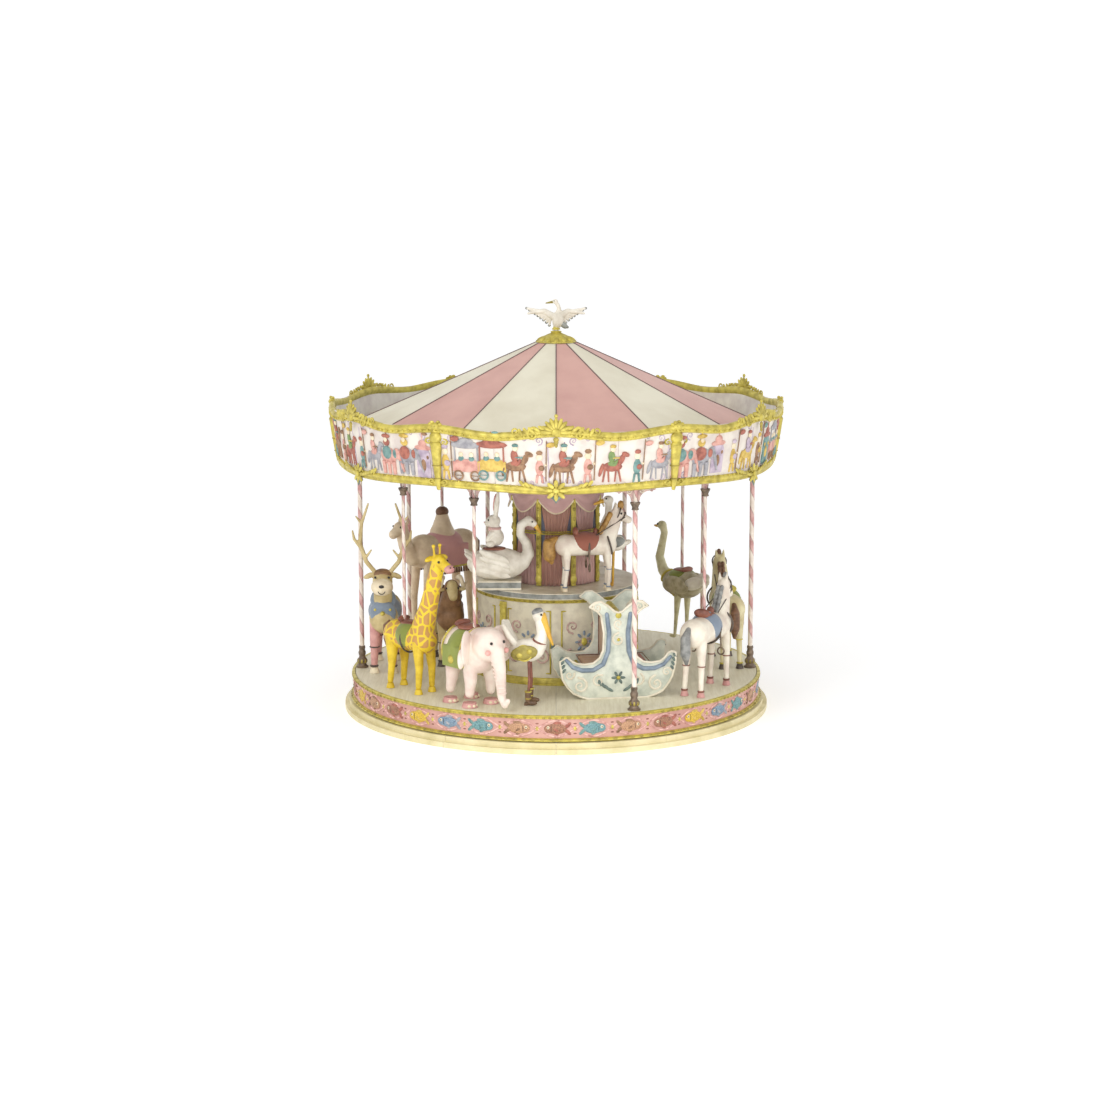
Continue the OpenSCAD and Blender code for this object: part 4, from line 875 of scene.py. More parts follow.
def sidePlate(name, points, thick, bevel, material):  # an outline in X and Z, made solid along Y
    deselect()
    bpy.ops.mesh.primitive_circle_add(vertices=len(points), radius=1, fill_type="NGON",
                                      rotation=(radians(90), 0, 0))
    piece = bpy.context.object
    piece.name = name
    piece.data.name = name
    bpy.ops.object.transform_apply(rotation=True)
    for vertex, (x, z) in zip(piece.data.vertices, points):
        vertex.co = (x, 0, z)
    bpy.ops.object.mode_set(mode="EDIT")
    bpy.ops.mesh.select_all(action="SELECT")
    bpy.ops.mesh.extrude_region_move(TRANSFORM_OT_translate={"value": (0, thick, 0)})
    bpy.ops.mesh.select_all(action="SELECT")
    bpy.ops.mesh.normals_make_consistent(inside=False)
    bpy.ops.object.mode_set(mode="OBJECT")
    piece.data.transform(Matrix.Translation((0, -thick / 2, 0)))
    mod = piece.modifiers.new("edge", "BEVEL")
    mod.width = bevel
    mod.segments = 2
    mod.limit_method = "ANGLE"
    bpy.ops.object.modifier_apply(modifier=mod.name)
    bpy.ops.object.shade_smooth_by_angle(angle=radians(35))
    return paintWith(piece, material)


def scroll(cx, cz, size, turns, start, y, thick, flip=1):  # a spiral of bar in the XZ plane
    points, radii = [], []
    for k in range(int(turns * 10) + 1):
        a = radians(start) + flip * k * 2 * pi / 10
        r = size * (1 - k / (turns * 10 + 2)) ** 1.2
        points.append((cx + r * cos(a), y, cz + r * sin(a)))
        radii.append(thick * (1 - 0.5 * k / (turns * 10)))
    return [("chain", points, radii, 8)]


chariotParts = []
for side in (-1, 1):
    plate = sidePlate("chariotSide", outline, 0.04, 0.006, carvedGreen)
    plate.data.transform(Matrix.Translation((0, side * 0.376, 0)))
    chariotParts.append(plate)
rims, bands, leaves, studs = [], [], [], []
for side in (-1, 1):
    y = side * 0.398
    rim = [(x, y, z) for x, z in outline]
    rims.append(("chain", rim + rim[:1], [0.016] * (len(rim) + 1), 8))
    for m in (-1, 1):
        seatBand = [(m * x, y, z) for x, z in ((0.17, 1.22), (0.135, 0.95), (0.15, 0.68), (0.22, 0.5),
                                               (0.36, 0.42),
                                               (0.52, 0.42), (0.65, 0.47), (0.75, 0.58))]
        bands.append(("chain", seatBand, [0.03, 0.034, 0.034, 0.034, 0.034, 0.034, 0.03, 0.024], 10))
        rims += scroll(m * 0.3, 1.32, 0.075, 1.4, 90, y, 0.017, -m)
        rims += scroll(m * 0.55, 0.2, 0.12, 1.6, 100, y, 0.018, m)
        rims += scroll(m * 0.28, 0.26, 0.1, 1.5, 60, y, 0.016, -m)
        rims += scroll(m * 0.7, 0.36, 0.075, 1.3, 20, y, 0.014, m)
        leaves += [("ball", (m * (0.12 + 0.05 * k), y, 0.13 + 0.035 * k), (0.06, 0.016, 0.022),
                    (0, -m * (30 + 12 * k), 0), 10)
                   for k in range(4)]
        leaves += [("ball", (m * (0.78 + 0.012 * k), y, 0.42 + 0.06 * k), (0.045, 0.018, 0.02),
                    (0, m * 50, 0), 10)
                   for k in range(4)]
        studs += [("ball", (m * x, side * 0.43 - side * 0.02, z), 0.012) for x,
                  z in ((0.15, 0.68), (0.36, 0.42), (0.52, 0.42), (0.135, 0.95))]
    rims += scroll(0, 0.85, 0.1, 1.6, 90, y, 0.016)
    rims += scroll(0, 1.08, 0.075, 1.4, -90, y, 0.014, -1)
    leaves += [("ball", (0.06 * cos(k * 1.05), y, 0.3 + 0.06 * sin(k * 1.05)), (0.045, 0.018, 0.02),
                (0, -60 * k, 0), 10)
               for k in range(6)]
    studs += [("ball", (0, y, 0.3), 0.03), ("ball", (0, y, 0.85), 0.024)]
body = [("block", (0, 0, 0.13), (1.2, 0.712, 0.04)), ("block", (0, 0, 0.665), (0.146, 0.712, 1.03)),
        ("block", (0.282, 0, 0.385), (0.42, 0.712, 0.03)), ("block", (-0.282, 0, 0.385), (0.42, 0.712, 0.03)),
        ("block", (0.48, 0, 0.26), (0.03, 0.712, 0.23)), ("block", (-0.48, 0, 0.26), (0.03, 0.712, 0.23))]
seatEdge = [("rod", (m * 0.49, -0.35, 0.39), (m * 0.49, 0.35, 0.39), 0.022) for m in (-1, 1)]
seatEdge += [("rod", (0, -0.36, 1.2), (0, 0.36, 1.2), 0.06)]
chariotPiece = model("chariot", [(carvedGreen, 0, 0, body), (ivory, 0, 0, rims), (bandBlue, 0, 0, bands),
                                 (carvedDark, 0, 0, leaves), (gold, 0, 0, studs + seatEdge)])
chariotPiece = joinAll(chariotPiece, chariotParts)
place(chariotPiece, spot(*chariot["at"]))
hold(chariotPiece, "carousel", "animal_paint", "chariot")
print("chariot done")

# poles, fittings and spandrels

poles = {"ring": 2.90, "radius": 0.035, "bottom": 0.53, "top": 3.66, "head": 3.35, "pitch": 0.42,
         "angles": (180, -68, 0, 38, 68, 112, 142),
         "riders": ((-147.5, 1.513), (-116.2, 1.586), (-34.8, 1.634)), "riderRing": 2.58,
         "riderRadius": 0.025}
carvedRose = handPaint("carvedRose", tone(204, 172, 162), tone(156, 126, 120), 9, 0.5)


def stripedPole(name, radius, bottom, top, x, y):
    piece = gridPiece(name, 14, 24)
    for loop in piece.data.uv_layers.active.data:
        loop.uv = (loop.uv[0], loop.uv[1] * (top - bottom) / poles["pitch"])
    for vertex in piece.data.vertices:
        angle = (vertex.co.x + 1) * pi
        z = bottom + (top - bottom) * (vertex.co.y + 1) / 2
        vertex.co = (x + radius * cos(angle), y + radius * sin(angle), z)
    weld(0.0004, holes=True)
    bpy.ops.object.shade_smooth_by_angle(angle=radians(50))
    return paintWith(piece, polePaint)


def lathe(name, profile, material, steps=28):
    piece = gridPiece(name, steps, len(profile) - 1)
    for vertex in piece.data.vertices:
        angle = (vertex.co.x + 1) * pi
        r, z = profile[round((vertex.co.y + 1) / 2 * (len(profile) - 1))]
        vertex.co = (r * cos(angle), r * sin(angle), z)
    weld(0.0002)
    bpy.ops.object.shade_smooth_by_angle(angle=radians(50))
    return paintWith(piece, material)


standing = []
for angle in poles["angles"]:
    a = radians(angle)
    standing.append(stripedPole("poles", poles["radius"], poles["bottom"], poles["top"],
                                poles["ring"] * cos(a), poles["ring"] * sin(a)))
for angle, foot in poles["riders"]:
    a = radians(angle)
    standing.append(stripedPole("poles", poles["riderRadius"], foot - 0.02, poles["top"],
                                poles["riderRing"] * cos(a), poles["riderRing"] * sin(a)))
hold(joinAll(standing[0], standing[1:]), "carousel", "pole_paint", "poles")

lifted = {"ostrich": (2.50, 38.7, 0.65 + 1.065), "horse": (2.11, 82.5, 0.65 + 1.10),
          "camel": (2.50, 135.0, 0.65 + 2.03)}  # circle, angle and the pole's foot
for who, (radius, angle, foot) in lifted.items():
    a = radians(angle)
    x, y = radius * cos(a), radius * sin(a)
    pole = stripedPole(who + "Pole", poles["riderRadius"], foot, 3.87, x, y)
    head = model(who + "PoleHead", [(bronze, 0, 0, [("block", (0, 0, 0), (0.07, 0.07, 0.07)),
                                                    ("ring", (0, 0, -0.045), 0.03, 0.008)])])
    head.data.transform(Matrix.Translation((0, 0, 3.9)) @ Matrix.Rotation(a, 4, "Z"))
    head.data.transform(Matrix.Translation((x, y, 0)))
    hold(joinAll(pole, [head]), who + "_rider", "pole_paint", who + "_pole")

footProfile = [(0.036, 0), (0.09, 0), (0.092, 0.02), (0.07, 0.034), (0.06, 0.06), (0.07, 0.085),
               (0.078, 0.105),
               (0.07, 0.13), (0.048, 0.155), (0.045, 0.18), (0.054, 0.2), (0.056, 0.235), (0.045, 0.26),
               (0.042, 0.285), (0.05, 0.3), (0.044, 0.33), (0.036, 0.33)]
topProfile = [(0.036, 0), (0.05, 0.004), (0.052, 0.014), (0.043, 0.028), (0.047, 0.05), (0.062, 0.078),
              (0.07, 0.094), (0.07, 0.11), (0.036, 0.11)]


def onRing(radius, angle, z):
    return Matrix.Translation((radius * cos(radians(angle)), radius * sin(radians(angle)), z))


def fittingSet():
    foot = lathe("poleFittings", footProfile, bronze)
    petals = model("petals", [(goldDark, 0, 0, [("ball", (0.066 * cos(k * pi / 4), 0.066 * sin(k * pi / 4),
                                                          0.1),
                                                 (0.014, 0.02, 0.034), (0, 0, k * 45), 8)
                                                 for k in range(8)])])
    joinAll(foot, [petals])
    return foot


feet = scatter(fittingSet(), [onRing(poles["ring"], a, poles["bottom"]) for a in poles["angles"]])
tops = scatter(lathe("poleTops", topProfile, bronze),
               [onRing(poles["ring"], a, poles["head"]) for a in poles["angles"]]
               + [onRing(poles["riderRing"], a, poles["head"]) for a, f in poles["riders"]])
hold(joinAll(feet, [tops]), "carousel", "bronze", "pole_fittings")

bracketLine = [(0.036, 0), (0.05, 0), (0.062, 0.03), (0.07, 0.07), (0.1, 0.11), (0.15, 0.14), (0.21, 0.15),
               (0.25, 0.13),
               (0.262, 0.15), (0.3, 0.155), (0.3, 0.198), (0.036, 0.198)]
bracket = sidePlate("spandrels", bracketLine, 0.03, 0.003, carvedRose)
carving = model("carving", [(ivory, 0, 0, scroll(0.1, 0.155, 0.035, 1.4, 180, -0.018, 0.007)
                             + scroll(0.19, 0.172, 0.022, 1.2, 0, -0.018, 0.006)
                             + scroll(0.1, 0.155, 0.035, 1.4, 180, 0.018, 0.007)
                             + scroll(0.19, 0.172, 0.022, 1.2, 0, 0.018, 0.006)),
                            (gold, 0, 0, [("rod", (0.036, y, 0.192), (0.3, y, 0.192), 0.008)
                                          for y in (-0.016, 0.016)])])
joinAll(bracket, [carving])
turned = [Matrix.Rotation(radians(90), 4, "Z"), Matrix.Rotation(radians(-90), 4, "Z")]
spots = [(poles["ring"], a) for a in poles["angles"]] + [(poles["riderRing"], a) for a, f in poles["riders"]]
hold(scatter(bracket, [polar(r, a, 3.46) @ t for r, a in spots for t in turned]), "carousel", "frieze_paint",
     "spandrels")
print("poles done")

# centre column: curtains, pilasters, swagged valance

column = {"radius": 0.62, "bottom": 1.885, "top": 3.655, "panels": 8}


def drapery(name, spanDeg, midDeg, bottom, top, fold, folds, pinch):
    # one width of cloth hanging round the column, gathered into folds and tied back at waist height
    piece = gridPiece(name, 72, 30)
    for vertex in piece.data.vertices:
        u, v = (vertex.co.x + 1) / 2, (vertex.co.y + 1) / 2
        z = bottom + (top - bottom) * v
        tie = math.exp(-((v - 0.45) / 0.14) ** 2) * pinch
        angle = radians(midDeg + (u - 0.5) * spanDeg * (1 - tie))
        depth = fold * (0.75 + 0.25 * (1 - v)) * sin(u * folds * 2 * pi + 0.5 * sin(v * 5 + midDeg))
        r = column["radius"] + 0.004 + depth * (1 - 0.35 * tie)
        vertex.co = (r * cos(angle), r * sin(angle), z)
    mod = piece.modifiers.new("cloth", "SOLIDIFY")
    mod.thickness = 0.003
    bpy.ops.object.modifier_apply(modifier=mod.name)
    bpy.ops.object.shade_smooth()
    return piece


for k in range(column["panels"]):
    name = "curtain_%d" % k
    curtain = drapery(name, 41.5, k * 45, column["bottom"], column["top"], 0.015, 7, 0.3)
    paintWith(curtain, velvetBrown if k % 2 == 0 else velvetMauve)
    hold(curtain, "carousel", "curtain_velvet", "curtains")
liner = lathe("curtainLiner", [(0.596, 1.882), (0.596, 3.658), (0.59, 3.658), (0.59, 1.882), (0.596, 1.882)],
              velvetBlue, 64)
hold(liner, "carousel", "curtain_velvet")
sash = model("tieBacks", [(gold, 0, 0, [("ring", (0, 0, 0), 0.655, 0.012, (0, 0, 0), 64),
                                        ("ring", (0, 0, 0.03), 0.652, 0.008, (0, 0, 0), 64)])])
sash.data.transform(Matrix.Translation((0, 0, 2.66)))
hold(sash, "carousel", "gold_paint")
print("curtains done")


def facing(radius, angle, z, lean=0.0):  # frame on the circle for ornaments modelled looking along -Y
    return (polar(radius, angle, z) @ Matrix.Rotation(radians(90), 4, "Z")
            @ Matrix.Rotation(radians(lean), 4, "X"))


# valance under the ring beam, and the swags across the curtains below it

swags = {"radius": 0.697,
         "rows": (("valance", 3.60, 0.13, 0.12, 0.27, 0.936, ("valance",)),
                  ("curtainSwags", 3.29, 0.12, 0.2, 0.34, 1.109, ()))}
for name, top, fallBy, belly, cut, cutArea, stands in swags["rows"]:
    swag = gridPiece(name, 256, 12)
    trimLine = []
    for vertex in swag.data.vertices:
        angle = (vertex.co.x + 1) * pi
        v = (1 - vertex.co.y) / 2
        bay = (math.degrees(angle) / 45 + 0.5) % 1
        ripple = 0.011 * sin(v * 11 - 3 * sin(pi * bay)) * sin(pi * bay)
        r = swags["radius"] + ripple
        vertex.co = (r * cos(angle), r * sin(angle), top - (fallBy + belly * sin(pi * bay)) * v)
        if v > 0.999:
            trimLine.append((angle, tuple(vertex.co)))
    weld(0.0004, turnOut=False)
    mod = swag.modifiers.new("cloth", "SOLIDIFY")
    mod.thickness = 0.003
    bpy.ops.object.modifier_apply(modifier=mod.name)
    bpy.ops.object.shade_smooth()
    paintWith(swag, velvetMauve)
    hold(swag, "carousel", "curtain_velvet", *stands)
    trimLine = [p for a, p in sorted(trimLine)][::2]
    tassels = [("ball", (0.7 * cos(radians(22.5 + 45 * k)), 0.7 * sin(radians(22.5 + 45 * k)),
                         top - fallBy - 0.03),
                (0.018, 0.018, 0.045), (0, 0, 0), 10) for k in range(8)]
    trim = model(name + "Trim", [(skinCream, 0, 0, [("chain", trimLine, [0.011] * len(trimLine), 6)]),
                                 (gold, 0, 0, tassels)])
    hold(trim, "carousel", "curtain_velvet")

# canopy: one sheet of striped canvas with its seams; the grey gores at the sides and back are painted shade

canopy = {"rim": (3.15, 4.15), "top": (0.29, 5.40), "rows": 26, "around": 144, "sag": 0.035, "gores": 12}
# material per gore: 1 pink, 2 cream, 3 grey; the grey gores at the sides and back are painted shade
goreColourAndShade = [3, 2, 3, 2, 3, 3, 2, 1, 2, 1, 2, 1]
canvas = gridPiece("canopy", canopy["around"], canopy["rows"])


def canopyPoint(angle, t):  # t runs from the rim to the top
    r = canopy["rim"][0] + (canopy["top"][0] - canopy["rim"][0]) * t
    z = canopy["rim"][1] + (canopy["top"][1] - canopy["rim"][1]) * t
    across = abs(sin(angle * canopy["gores"] / 2))
    z -= canopy["sag"] * sin(pi * t) ** 0.8 * across * (0.35 + 0.65 * r / 3.15)
    return Vector((r * cos(angle), r * sin(angle), z))


centres = {}
for polygon in canvas.data.polygons:
    x = sum(canvas.data.vertices[i].co.x for i in polygon.vertices) / len(polygon.vertices)
    centres[polygon.index] = int((x + 1) / 2 * canopy["gores"]) % canopy["gores"]
for vertex in canvas.data.vertices:
    vertex.co = canopyPoint((vertex.co.x + 1) * pi, (vertex.co.y + 1) / 2)
for finish in (canvasLine, canvasPink, canvasCream, canvasShadeGrey):
    canvas.data.materials.append(finish)
for polygon in canvas.data.polygons:
    polygon.material_index = goreColourAndShade[centres[polygon.index]]
weld(0.0004)
mod = canvas.modifiers.new("cloth", "SOLIDIFY")
mod.thickness = 0.004
mod.offset = -1
bpy.ops.object.modifier_apply(modifier=mod.name)
bpy.ops.object.shade_smooth_by_angle(angle=radians(9))
hold(canvas, "carousel", "canvas", "canopy")
seamParts = []
for k in range(canopy["gores"]):
    line = [tuple(canopyPoint(radians(30 * k), t / 12) + Vector((0, 0, 0.003))) for t in range(13)]
    seamParts.append(("chain", line, [0.009] * 13, 6))
rimLine = [tuple(canopyPoint(radians(2.5 * k), 0)) for k in range(145)]
seams = model("canopySeams", [(canvasLine, 0, 0, seamParts),
                              (gold, 0, 0, [("chain", rimLine, [0.014] * 145, 6)])])
hold(seams, "carousel", "canvas")
print("canopy done")

# cap and finial bird

cap = lathe("canopyCap", [(0.0, 5.567), (0.05, 5.567), (0.075, 5.562), (0.085, 5.55), (0.07, 5.54),
                          (0.1, 5.525), (0.15, 5.505),
                          (0.2, 5.475), (0.235, 5.44), (0.27, 5.43), (0.295, 5.42), (0.298, 5.408),
                          (0.28, 5.402), (0.24, 5.401),
                          (0.0, 5.401)], gold, 48)
lobes = model("capLobes", [(gold, 0, 0, [("ball", (0.215 * cos(k * pi / 6), 0.215 * sin(k * pi / 6), 5.452),
                                          (0.075, 0.042, 0.028), (0, 24, k * 30), 12) for k in range(12)]),
                           (goldDark, 0, 0, [("ball", (0.285 * cos(k * pi / 12), 0.285 * sin(k * pi / 12),
                                                       5.416),
                                              (0.012, 0.018, 0.014), (0, 0, k * 15), 8) for k in range(24)])])
hold(joinAll(cap, [lobes]), "carousel", "gold_paint", "canopy_cap")
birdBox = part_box("finial_bird")
quills, tips = [], []
for s in (-1, 1):
    for k in range(9):
        t = k / 8
        x0, z0 = s * (0.07 + 0.16 * t), 0.2 + 0.07 * t
        x1, z1 = s * (0.1 + 0.33 * t), 0.06 + 0.17 * t ** 0.8 + 0.01 * k % 2
        quills.append(("rod", (x0, -0.0, z0), (x1, 0.02, z1), 0.026, 0.017, 8))
        tips.append(("ball", (x1, 0.02, z1), (0.024, 0.016, 0.022), (0, 0, 0), 8))
arms = pair(lambda s: [("chain", [(s * 0.06, 0, 0.2), (s * 0.17, 0, 0.27), (s * 0.3, 0, 0.26),
                                  (s * 0.41, 0, 0.235)],
                        [0.055, 0.04, 0.03, 0.018], 12)])
pelican = model("finialBird", [
    (featherWhite, 0.009, 4, [("ball", (0.03, 0, 0.14), (0.085, 0.09, 0.125), (0, 12, 0), 20),
                              ("chain", [(0.02, 0, 0.22), (0.045, 0, 0.29), (0.03, 0, 0.35), (0.0, 0, 0.395)],
                               [0.05, 0.034, 0.03, 0.03], 14),
                               ("ball", (-0.015, 0, 0.41), (0.045, 0.036, 0.036))] + arms),
    (featherWhite, 0.008, 1, quills), (featherGrey, 0, 0, tips),
    (wingOlive, 0.006, 1, [("rod", (-0.04, 0, 0.405), (-0.15, 0, 0.385), 0.022, 0.009)]),
    (featherGrey, 0.008, 1, [("chain", [(0.08, 0, 0.09), (0.13, 0, 0.05), (0.17, 0, 0.035)],
                              [0.045, 0.04, 0.02], 10)]),
    (gold, 0, 0, [("ball", (0, 0, 0.03), (0.045, 0.045, 0.035)), ("ring", (0, 0, 0.01), 0.05, 0.012)]),
    (billOrange, 0, 0, pair(lambda s: [("rod", (s * 0.025, 0, 0.0), (0.02 + s * 0.03, 0, 0.08), 0.011)])),
    (eyeDark, 0, 0, pair(lambda s: [("ball", (-0.03, s * 0.034, 0.42), 0.008)]))])
pelican.data.transform(Matrix.Translation((0, 0, birdBox[0][2] + 0.012)))
hold(pelican, "carousel", "ivory_paint", "finial_bird")
print("cap and bird done")

# crown mouldings, crests and terms


def curl(piece, radius, scale=(1, 1, 1)):  # bends a flat carving so that it hugs a circle
    piece.data.transform(Matrix.Diagonal((*scale, 1)))
    for vertex in piece.data.vertices:
        a, r = vertex.co.x / radius, radius - vertex.co.y
        vertex.co = (r * sin(a), radius - r * cos(a), vertex.co.z)
    return piece



def railWave(angle):
    return cos(12 * (angle + pi / 2))


topSection = [(3.25, 4.44), (3.275, 4.428), (3.297, 4.434), (3.306, 4.452), (3.3, 4.47), (3.316, 4.482),
              (3.322, 4.505),
              (3.31, 4.53), (3.29, 4.548), (3.262, 4.55), (3.24, 4.53), (3.236, 4.49)]
lowSection = [(3.142, 3.70), (3.158, 3.672), (3.186, 3.668), (3.206, 3.684), (3.198, 3.706), (3.212, 3.718),
              (3.216, 3.742), (3.204, 3.764), (3.184, 3.778), (3.156, 3.768)]
topRail = paintWith(sweepRing("crownMouldings", topSection, 288, lambda a: 0.034 * railWave(a) - 0.028), gold)
lowRail = paintWith(sweepRing("lowRail", lowSection, 288, lambda a: -0.022 * cos(6 * (a + pi / 2)) - 0.006),
                    gold)
beads = []
for k in range(192):
    a = k * 2 * pi / 192
    beads.append(("ball", (3.312 * cos(a), 3.312 * sin(a), 4.44 + 0.034 * railWave(a)), (0.02, 0.02, 0.02),
                  (0, 0, 0), 8))
    beads.append(("ball", (3.206 * cos(a), 3.206 * sin(a), 3.764 - 0.022 * cos(6 * (a + pi / 2))),
                  (0.016, 0.016, 0.016), (0, 0, 0), 8))
beadRow = model("beads", [(gold, 0, 0, beads)])
hold(joinAll(topRail, [lowRail, beadRow]), "carousel", "gold_paint", "crown_mouldings")

leafRun = []
for m in (-1, 1):
    leafRun += scroll(m * 0.24, -0.02, 0.07, 1.3, 90, -0.012, 0.016, -m)
    leafRun += scroll(m * 0.42, 0.01, 0.045, 1.2, 270, -0.008, 0.012, m)
    leafRun += [("ball", (m * (0.15 + 0.055 * k), -0.018, 0.05 - 0.012 * k), (0.045, 0.014, 0.02),
                 (0, -m * (25 + 10 * k), 0), 10)
                for k in range(5)]
shell = [("ball", (0.095 * sin(radians(a)), -0.016, 0.095 * cos(radians(a))), (0.024, 0.022, 0.07), (0, a, 0),
          12)
         for a in range(-88, 89, 22)]
crest = model("crownOrnaments", [
    (gold, 0, 0, shell + leafRun + [("ball", (0, -0.022, 0.0), (0.05, 0.03, 0.045)),
                                    ("ball", (0, -0.02, 0.175), 0.02)]),
    (goldDark, 0, 0, [("ball", (0, -0.026, -0.07 - 0.03 * k), (0.03 - 0.006 * k, 0.018, 0.025))
                      for k in range(3)]
     + [("rod", (0.045 * sin(radians(a)), -0.03, 0.045 * cos(radians(a))),
         (0.13 * sin(radians(a)), -0.034, 0.13 * cos(radians(a))), 0.005, 0.004, 6)
         for a in range(-77, 78, 22)])])
drop = model("lowCrest", [
    (gold, 0, 0, [("ball", (0.07 * cos(radians(a)), -0.012, 0.07 * sin(radians(a))), (0.045, 0.016, 0.022),
                   (0, -a, 0), 10)
                  for a in range(0, 360, 45)] + [("ball", (0, -0.024, 0), (0.03, 0.022, 0.03))]
     + [("ball", (m * (0.12 + 0.05 * k), -0.01, 0.01 + 0.016 * k), (0.04, 0.013, 0.018),
         (0, m * (-20 - 8 * k), 0), 10)
        for m in (-1, 1) for k in range(5)]),
    (carvedDark, 0, 0, [("ball", (0.03 * sin(radians(a)), -0.008, -0.06 - 0.035 * cos(radians(a))),
                         (0.015, 0.012, 0.04), (0, a, 0), 10)
                        for a in range(-60, 61, 30)])])
termPart = model("term", [
    (gold, 0, 0, [("chain", [(0, -0.008, 0.02), (0, -0.028, 0.2), (0, -0.05, 0.42), (0, -0.066, 0.62)],
                   [0.02, 0.034, 0.046, 0.058], 14), ("ball", (0, -0.074, 0.72), (0.064, 0.056, 0.085),
                                                      (0, 0, 0), 18),
                  ("ring", (0, -0.066, 0.62), 0.05, 0.012), ("ring", (0, -0.07, 0.8), 0.036, 0.011),
                  ("ball", (0, -0.082, 0.87), (0.05, 0.048, 0.055), (0, 0, 0), 16)]
     + [("ball", (0.052 * cos(k * 1.05), -0.084 + 0.02 * sin(k * 2), 0.9 + 0.03 * sin(k * 1.05)), 0.024,
         (0, 0, 0), 8)
        for k in range(6)] + pair(lambda s: scroll(s * 0.085, 0.66, 0.045, 1.2, 90, -0.055, 0.012, -s)
                                  + scroll(s * 0.07, 0.12, 0.04, 1.2, 270, -0.02, 0.011, s))),
    (goldDark, 0, 0, [("ball", (s * 0.016, -0.126, 0.875), 0.006) for s in (-1, 1)]
     + [("ring", (0, -0.04, 0.34), 0.045, 0.008), ("ring", (0, -0.022, 0.16), 0.036, 0.007)])])
crestAngles = [-90 + 60 * k for k in range(6)]
termAngles = [60 * k for k in range(6)]
scatter(curl(crest, 3.31, (1.3, 1.0, 1.3)), [facing(3.305, a, 4.5) for a in crestAngles])
scatter(curl(drop, 3.214, (1.45, 1.0, 1.3)), [facing(3.214, a, 3.7) for a in crestAngles])
scatter(termPart, [facing(3.20, a, 3.64, 0) @ Matrix.Diagonal((1.45, 1.1, 1.02, 1)) for a in termAngles])
hold(joinAll(crest, [drop, termPart]), "carousel", "gold_paint", "crown_ornaments")
print("crown gilding done")

# painted parade on the crown, and its scroll frames

tintRed, tintTeal = handPaint("tintRed", tone(172, 104, 86), tone(132, 76, 66), 14), handPaint("tintTeal",
    tone(118, 152, 146), tone(84, 118, 116), 14)
tintMauve, tintBrown = handPaint("tintMauve", tone(196, 180, 192), tone(156, 140, 158),
                                 10), handPaint("tintBrown", tone(156, 120, 88), tone(112, 82, 60), 14)
tintPink, tintYellow = handPaint("tintPink", tone(214, 164, 150), tone(184, 128, 118),
                                 12), handPaint("tintYellow", tone(214, 184, 96), tone(176, 144, 62), 12)
tintGreen, tintGrey = handPaint("tintGreen", tone(128, 150, 92), tone(96, 118, 68), 12), handPaint("tintGrey",
    tone(166, 164, 166), tone(132, 130, 136), 12)


def flat(cx, cz, sx, sz, turn=0, y=-0.004, sides=12):
    return ("ball", (cx, y, cz), (sx, 0.012, sz), (0, turn, 0), sides)


def stick(x0, z0, x1, z1, r=0.008, y=-0.004):
    return ("rod", (x0, y, z0), (x1, y, z1), r, r * 0.8, 6, False)


def rider(name, beastTint, coat, hat):
    return model(name, [
        (beastTint, 0, 0, [flat(0, 0.15, 0.1, 0.05), flat(0.09, 0.22, 0.03, 0.06, 25),
                           flat(0.13, 0.27, 0.042, 0.024, 25),
                           flat(-0.11, 0.12, 0.02, 0.07, 15), stick(-0.07, 0.13, -0.09, 0.0, 0.011),
                           stick(-0.04, 0.13, -0.03, 0.0, 0.01),
                           stick(0.06, 0.13, 0.09, 0.0, 0.011), stick(0.04, 0.13, 0.03, 0.0, 0.01)]),
        (coat, 0, 0, [flat(-0.01, 0.25, 0.035, 0.06, -6, -0.01), flat(0.03, 0.19, 0.016, 0.04, 30, -0.012),
                      flat(0, 0.18, 0.05, 0.03, 0, -0.008)]),
        (skinCream, 0, 0, [flat(0.0, 0.325, 0.026, 0.028, 0, -0.01)]),
        (hat, 0, 0, [flat(0.0, 0.355, 0.032, 0.018, 0, -0.012),
                     stick(-0.01, 0.24, 0.07, 0.24, 0.008, -0.014)])])


def walker(name, coat, hat, flag):
    return model(name, [
        (coat, 0, 0, [flat(0, 0.15, 0.04, 0.08), stick(-0.02, 0.08, -0.03, 0.0, 0.013),
                      stick(0.02, 0.08, 0.03, 0.0, 0.013)]),
        (skinCream, 0, 0, [flat(0, 0.255, 0.032, 0.034), flat(0.06, 0.18, 0.014, 0.014)]),
        (hat, 0, 0, [flat(0, 0.3, 0.032, 0.022, 0, -0.008), flat(0.02, 0.15, 0.03, 0.028, 0, -0.014)]),
        (tintBrown, 0, 0, [stick(0.06, 0.02, 0.07, 0.42, 0.006, -0.01)]),
        (flag, 0, 0, [flat(0.11, 0.38, 0.045, 0.026, -8, -0.01)])])


def wagon(name, side, roof, wheel):
    return model(name, [
        (side, 0, 0, [("block", (0, -0.004, 0.13), (0.26, 0.018, 0.09)), flat(0, 0.17, 0.13, 0.03)]),
        (roof, 0, 0, [flat(0, 0.33, 0.15, 0.035), flat(0, 0.36, 0.08, 0.035), stick(-0.11, 0.17, -0.11, 0.31),
                      stick(0.11, 0.17, 0.11, 0.31),
                      stick(0, 0.38, 0, 0.45, 0.006)]),
        (wheel, 0, 0, [("ring", (x, -0.014, 0.05), 0.042, 0.008, (90, 0, 0), 16) for x in (-0.08, 0.08)]
         + [stick(x - 0.04, 0.05, x + 0.04, 0.05, 0.004, -0.014) for x in (-0.08, 0.08)]),
        (skinCream, 0, 0, [flat(x, 0.24, 0.022, 0.025) for x in (-0.05, 0.05)]),
        (tintTeal, 0, 0, [flat(-0.05, 0.2, 0.028, 0.03), flat(0.05, 0.2, 0.028, 0.03),
                          flat(0.04, 0.44, 0.035, 0.016)])])


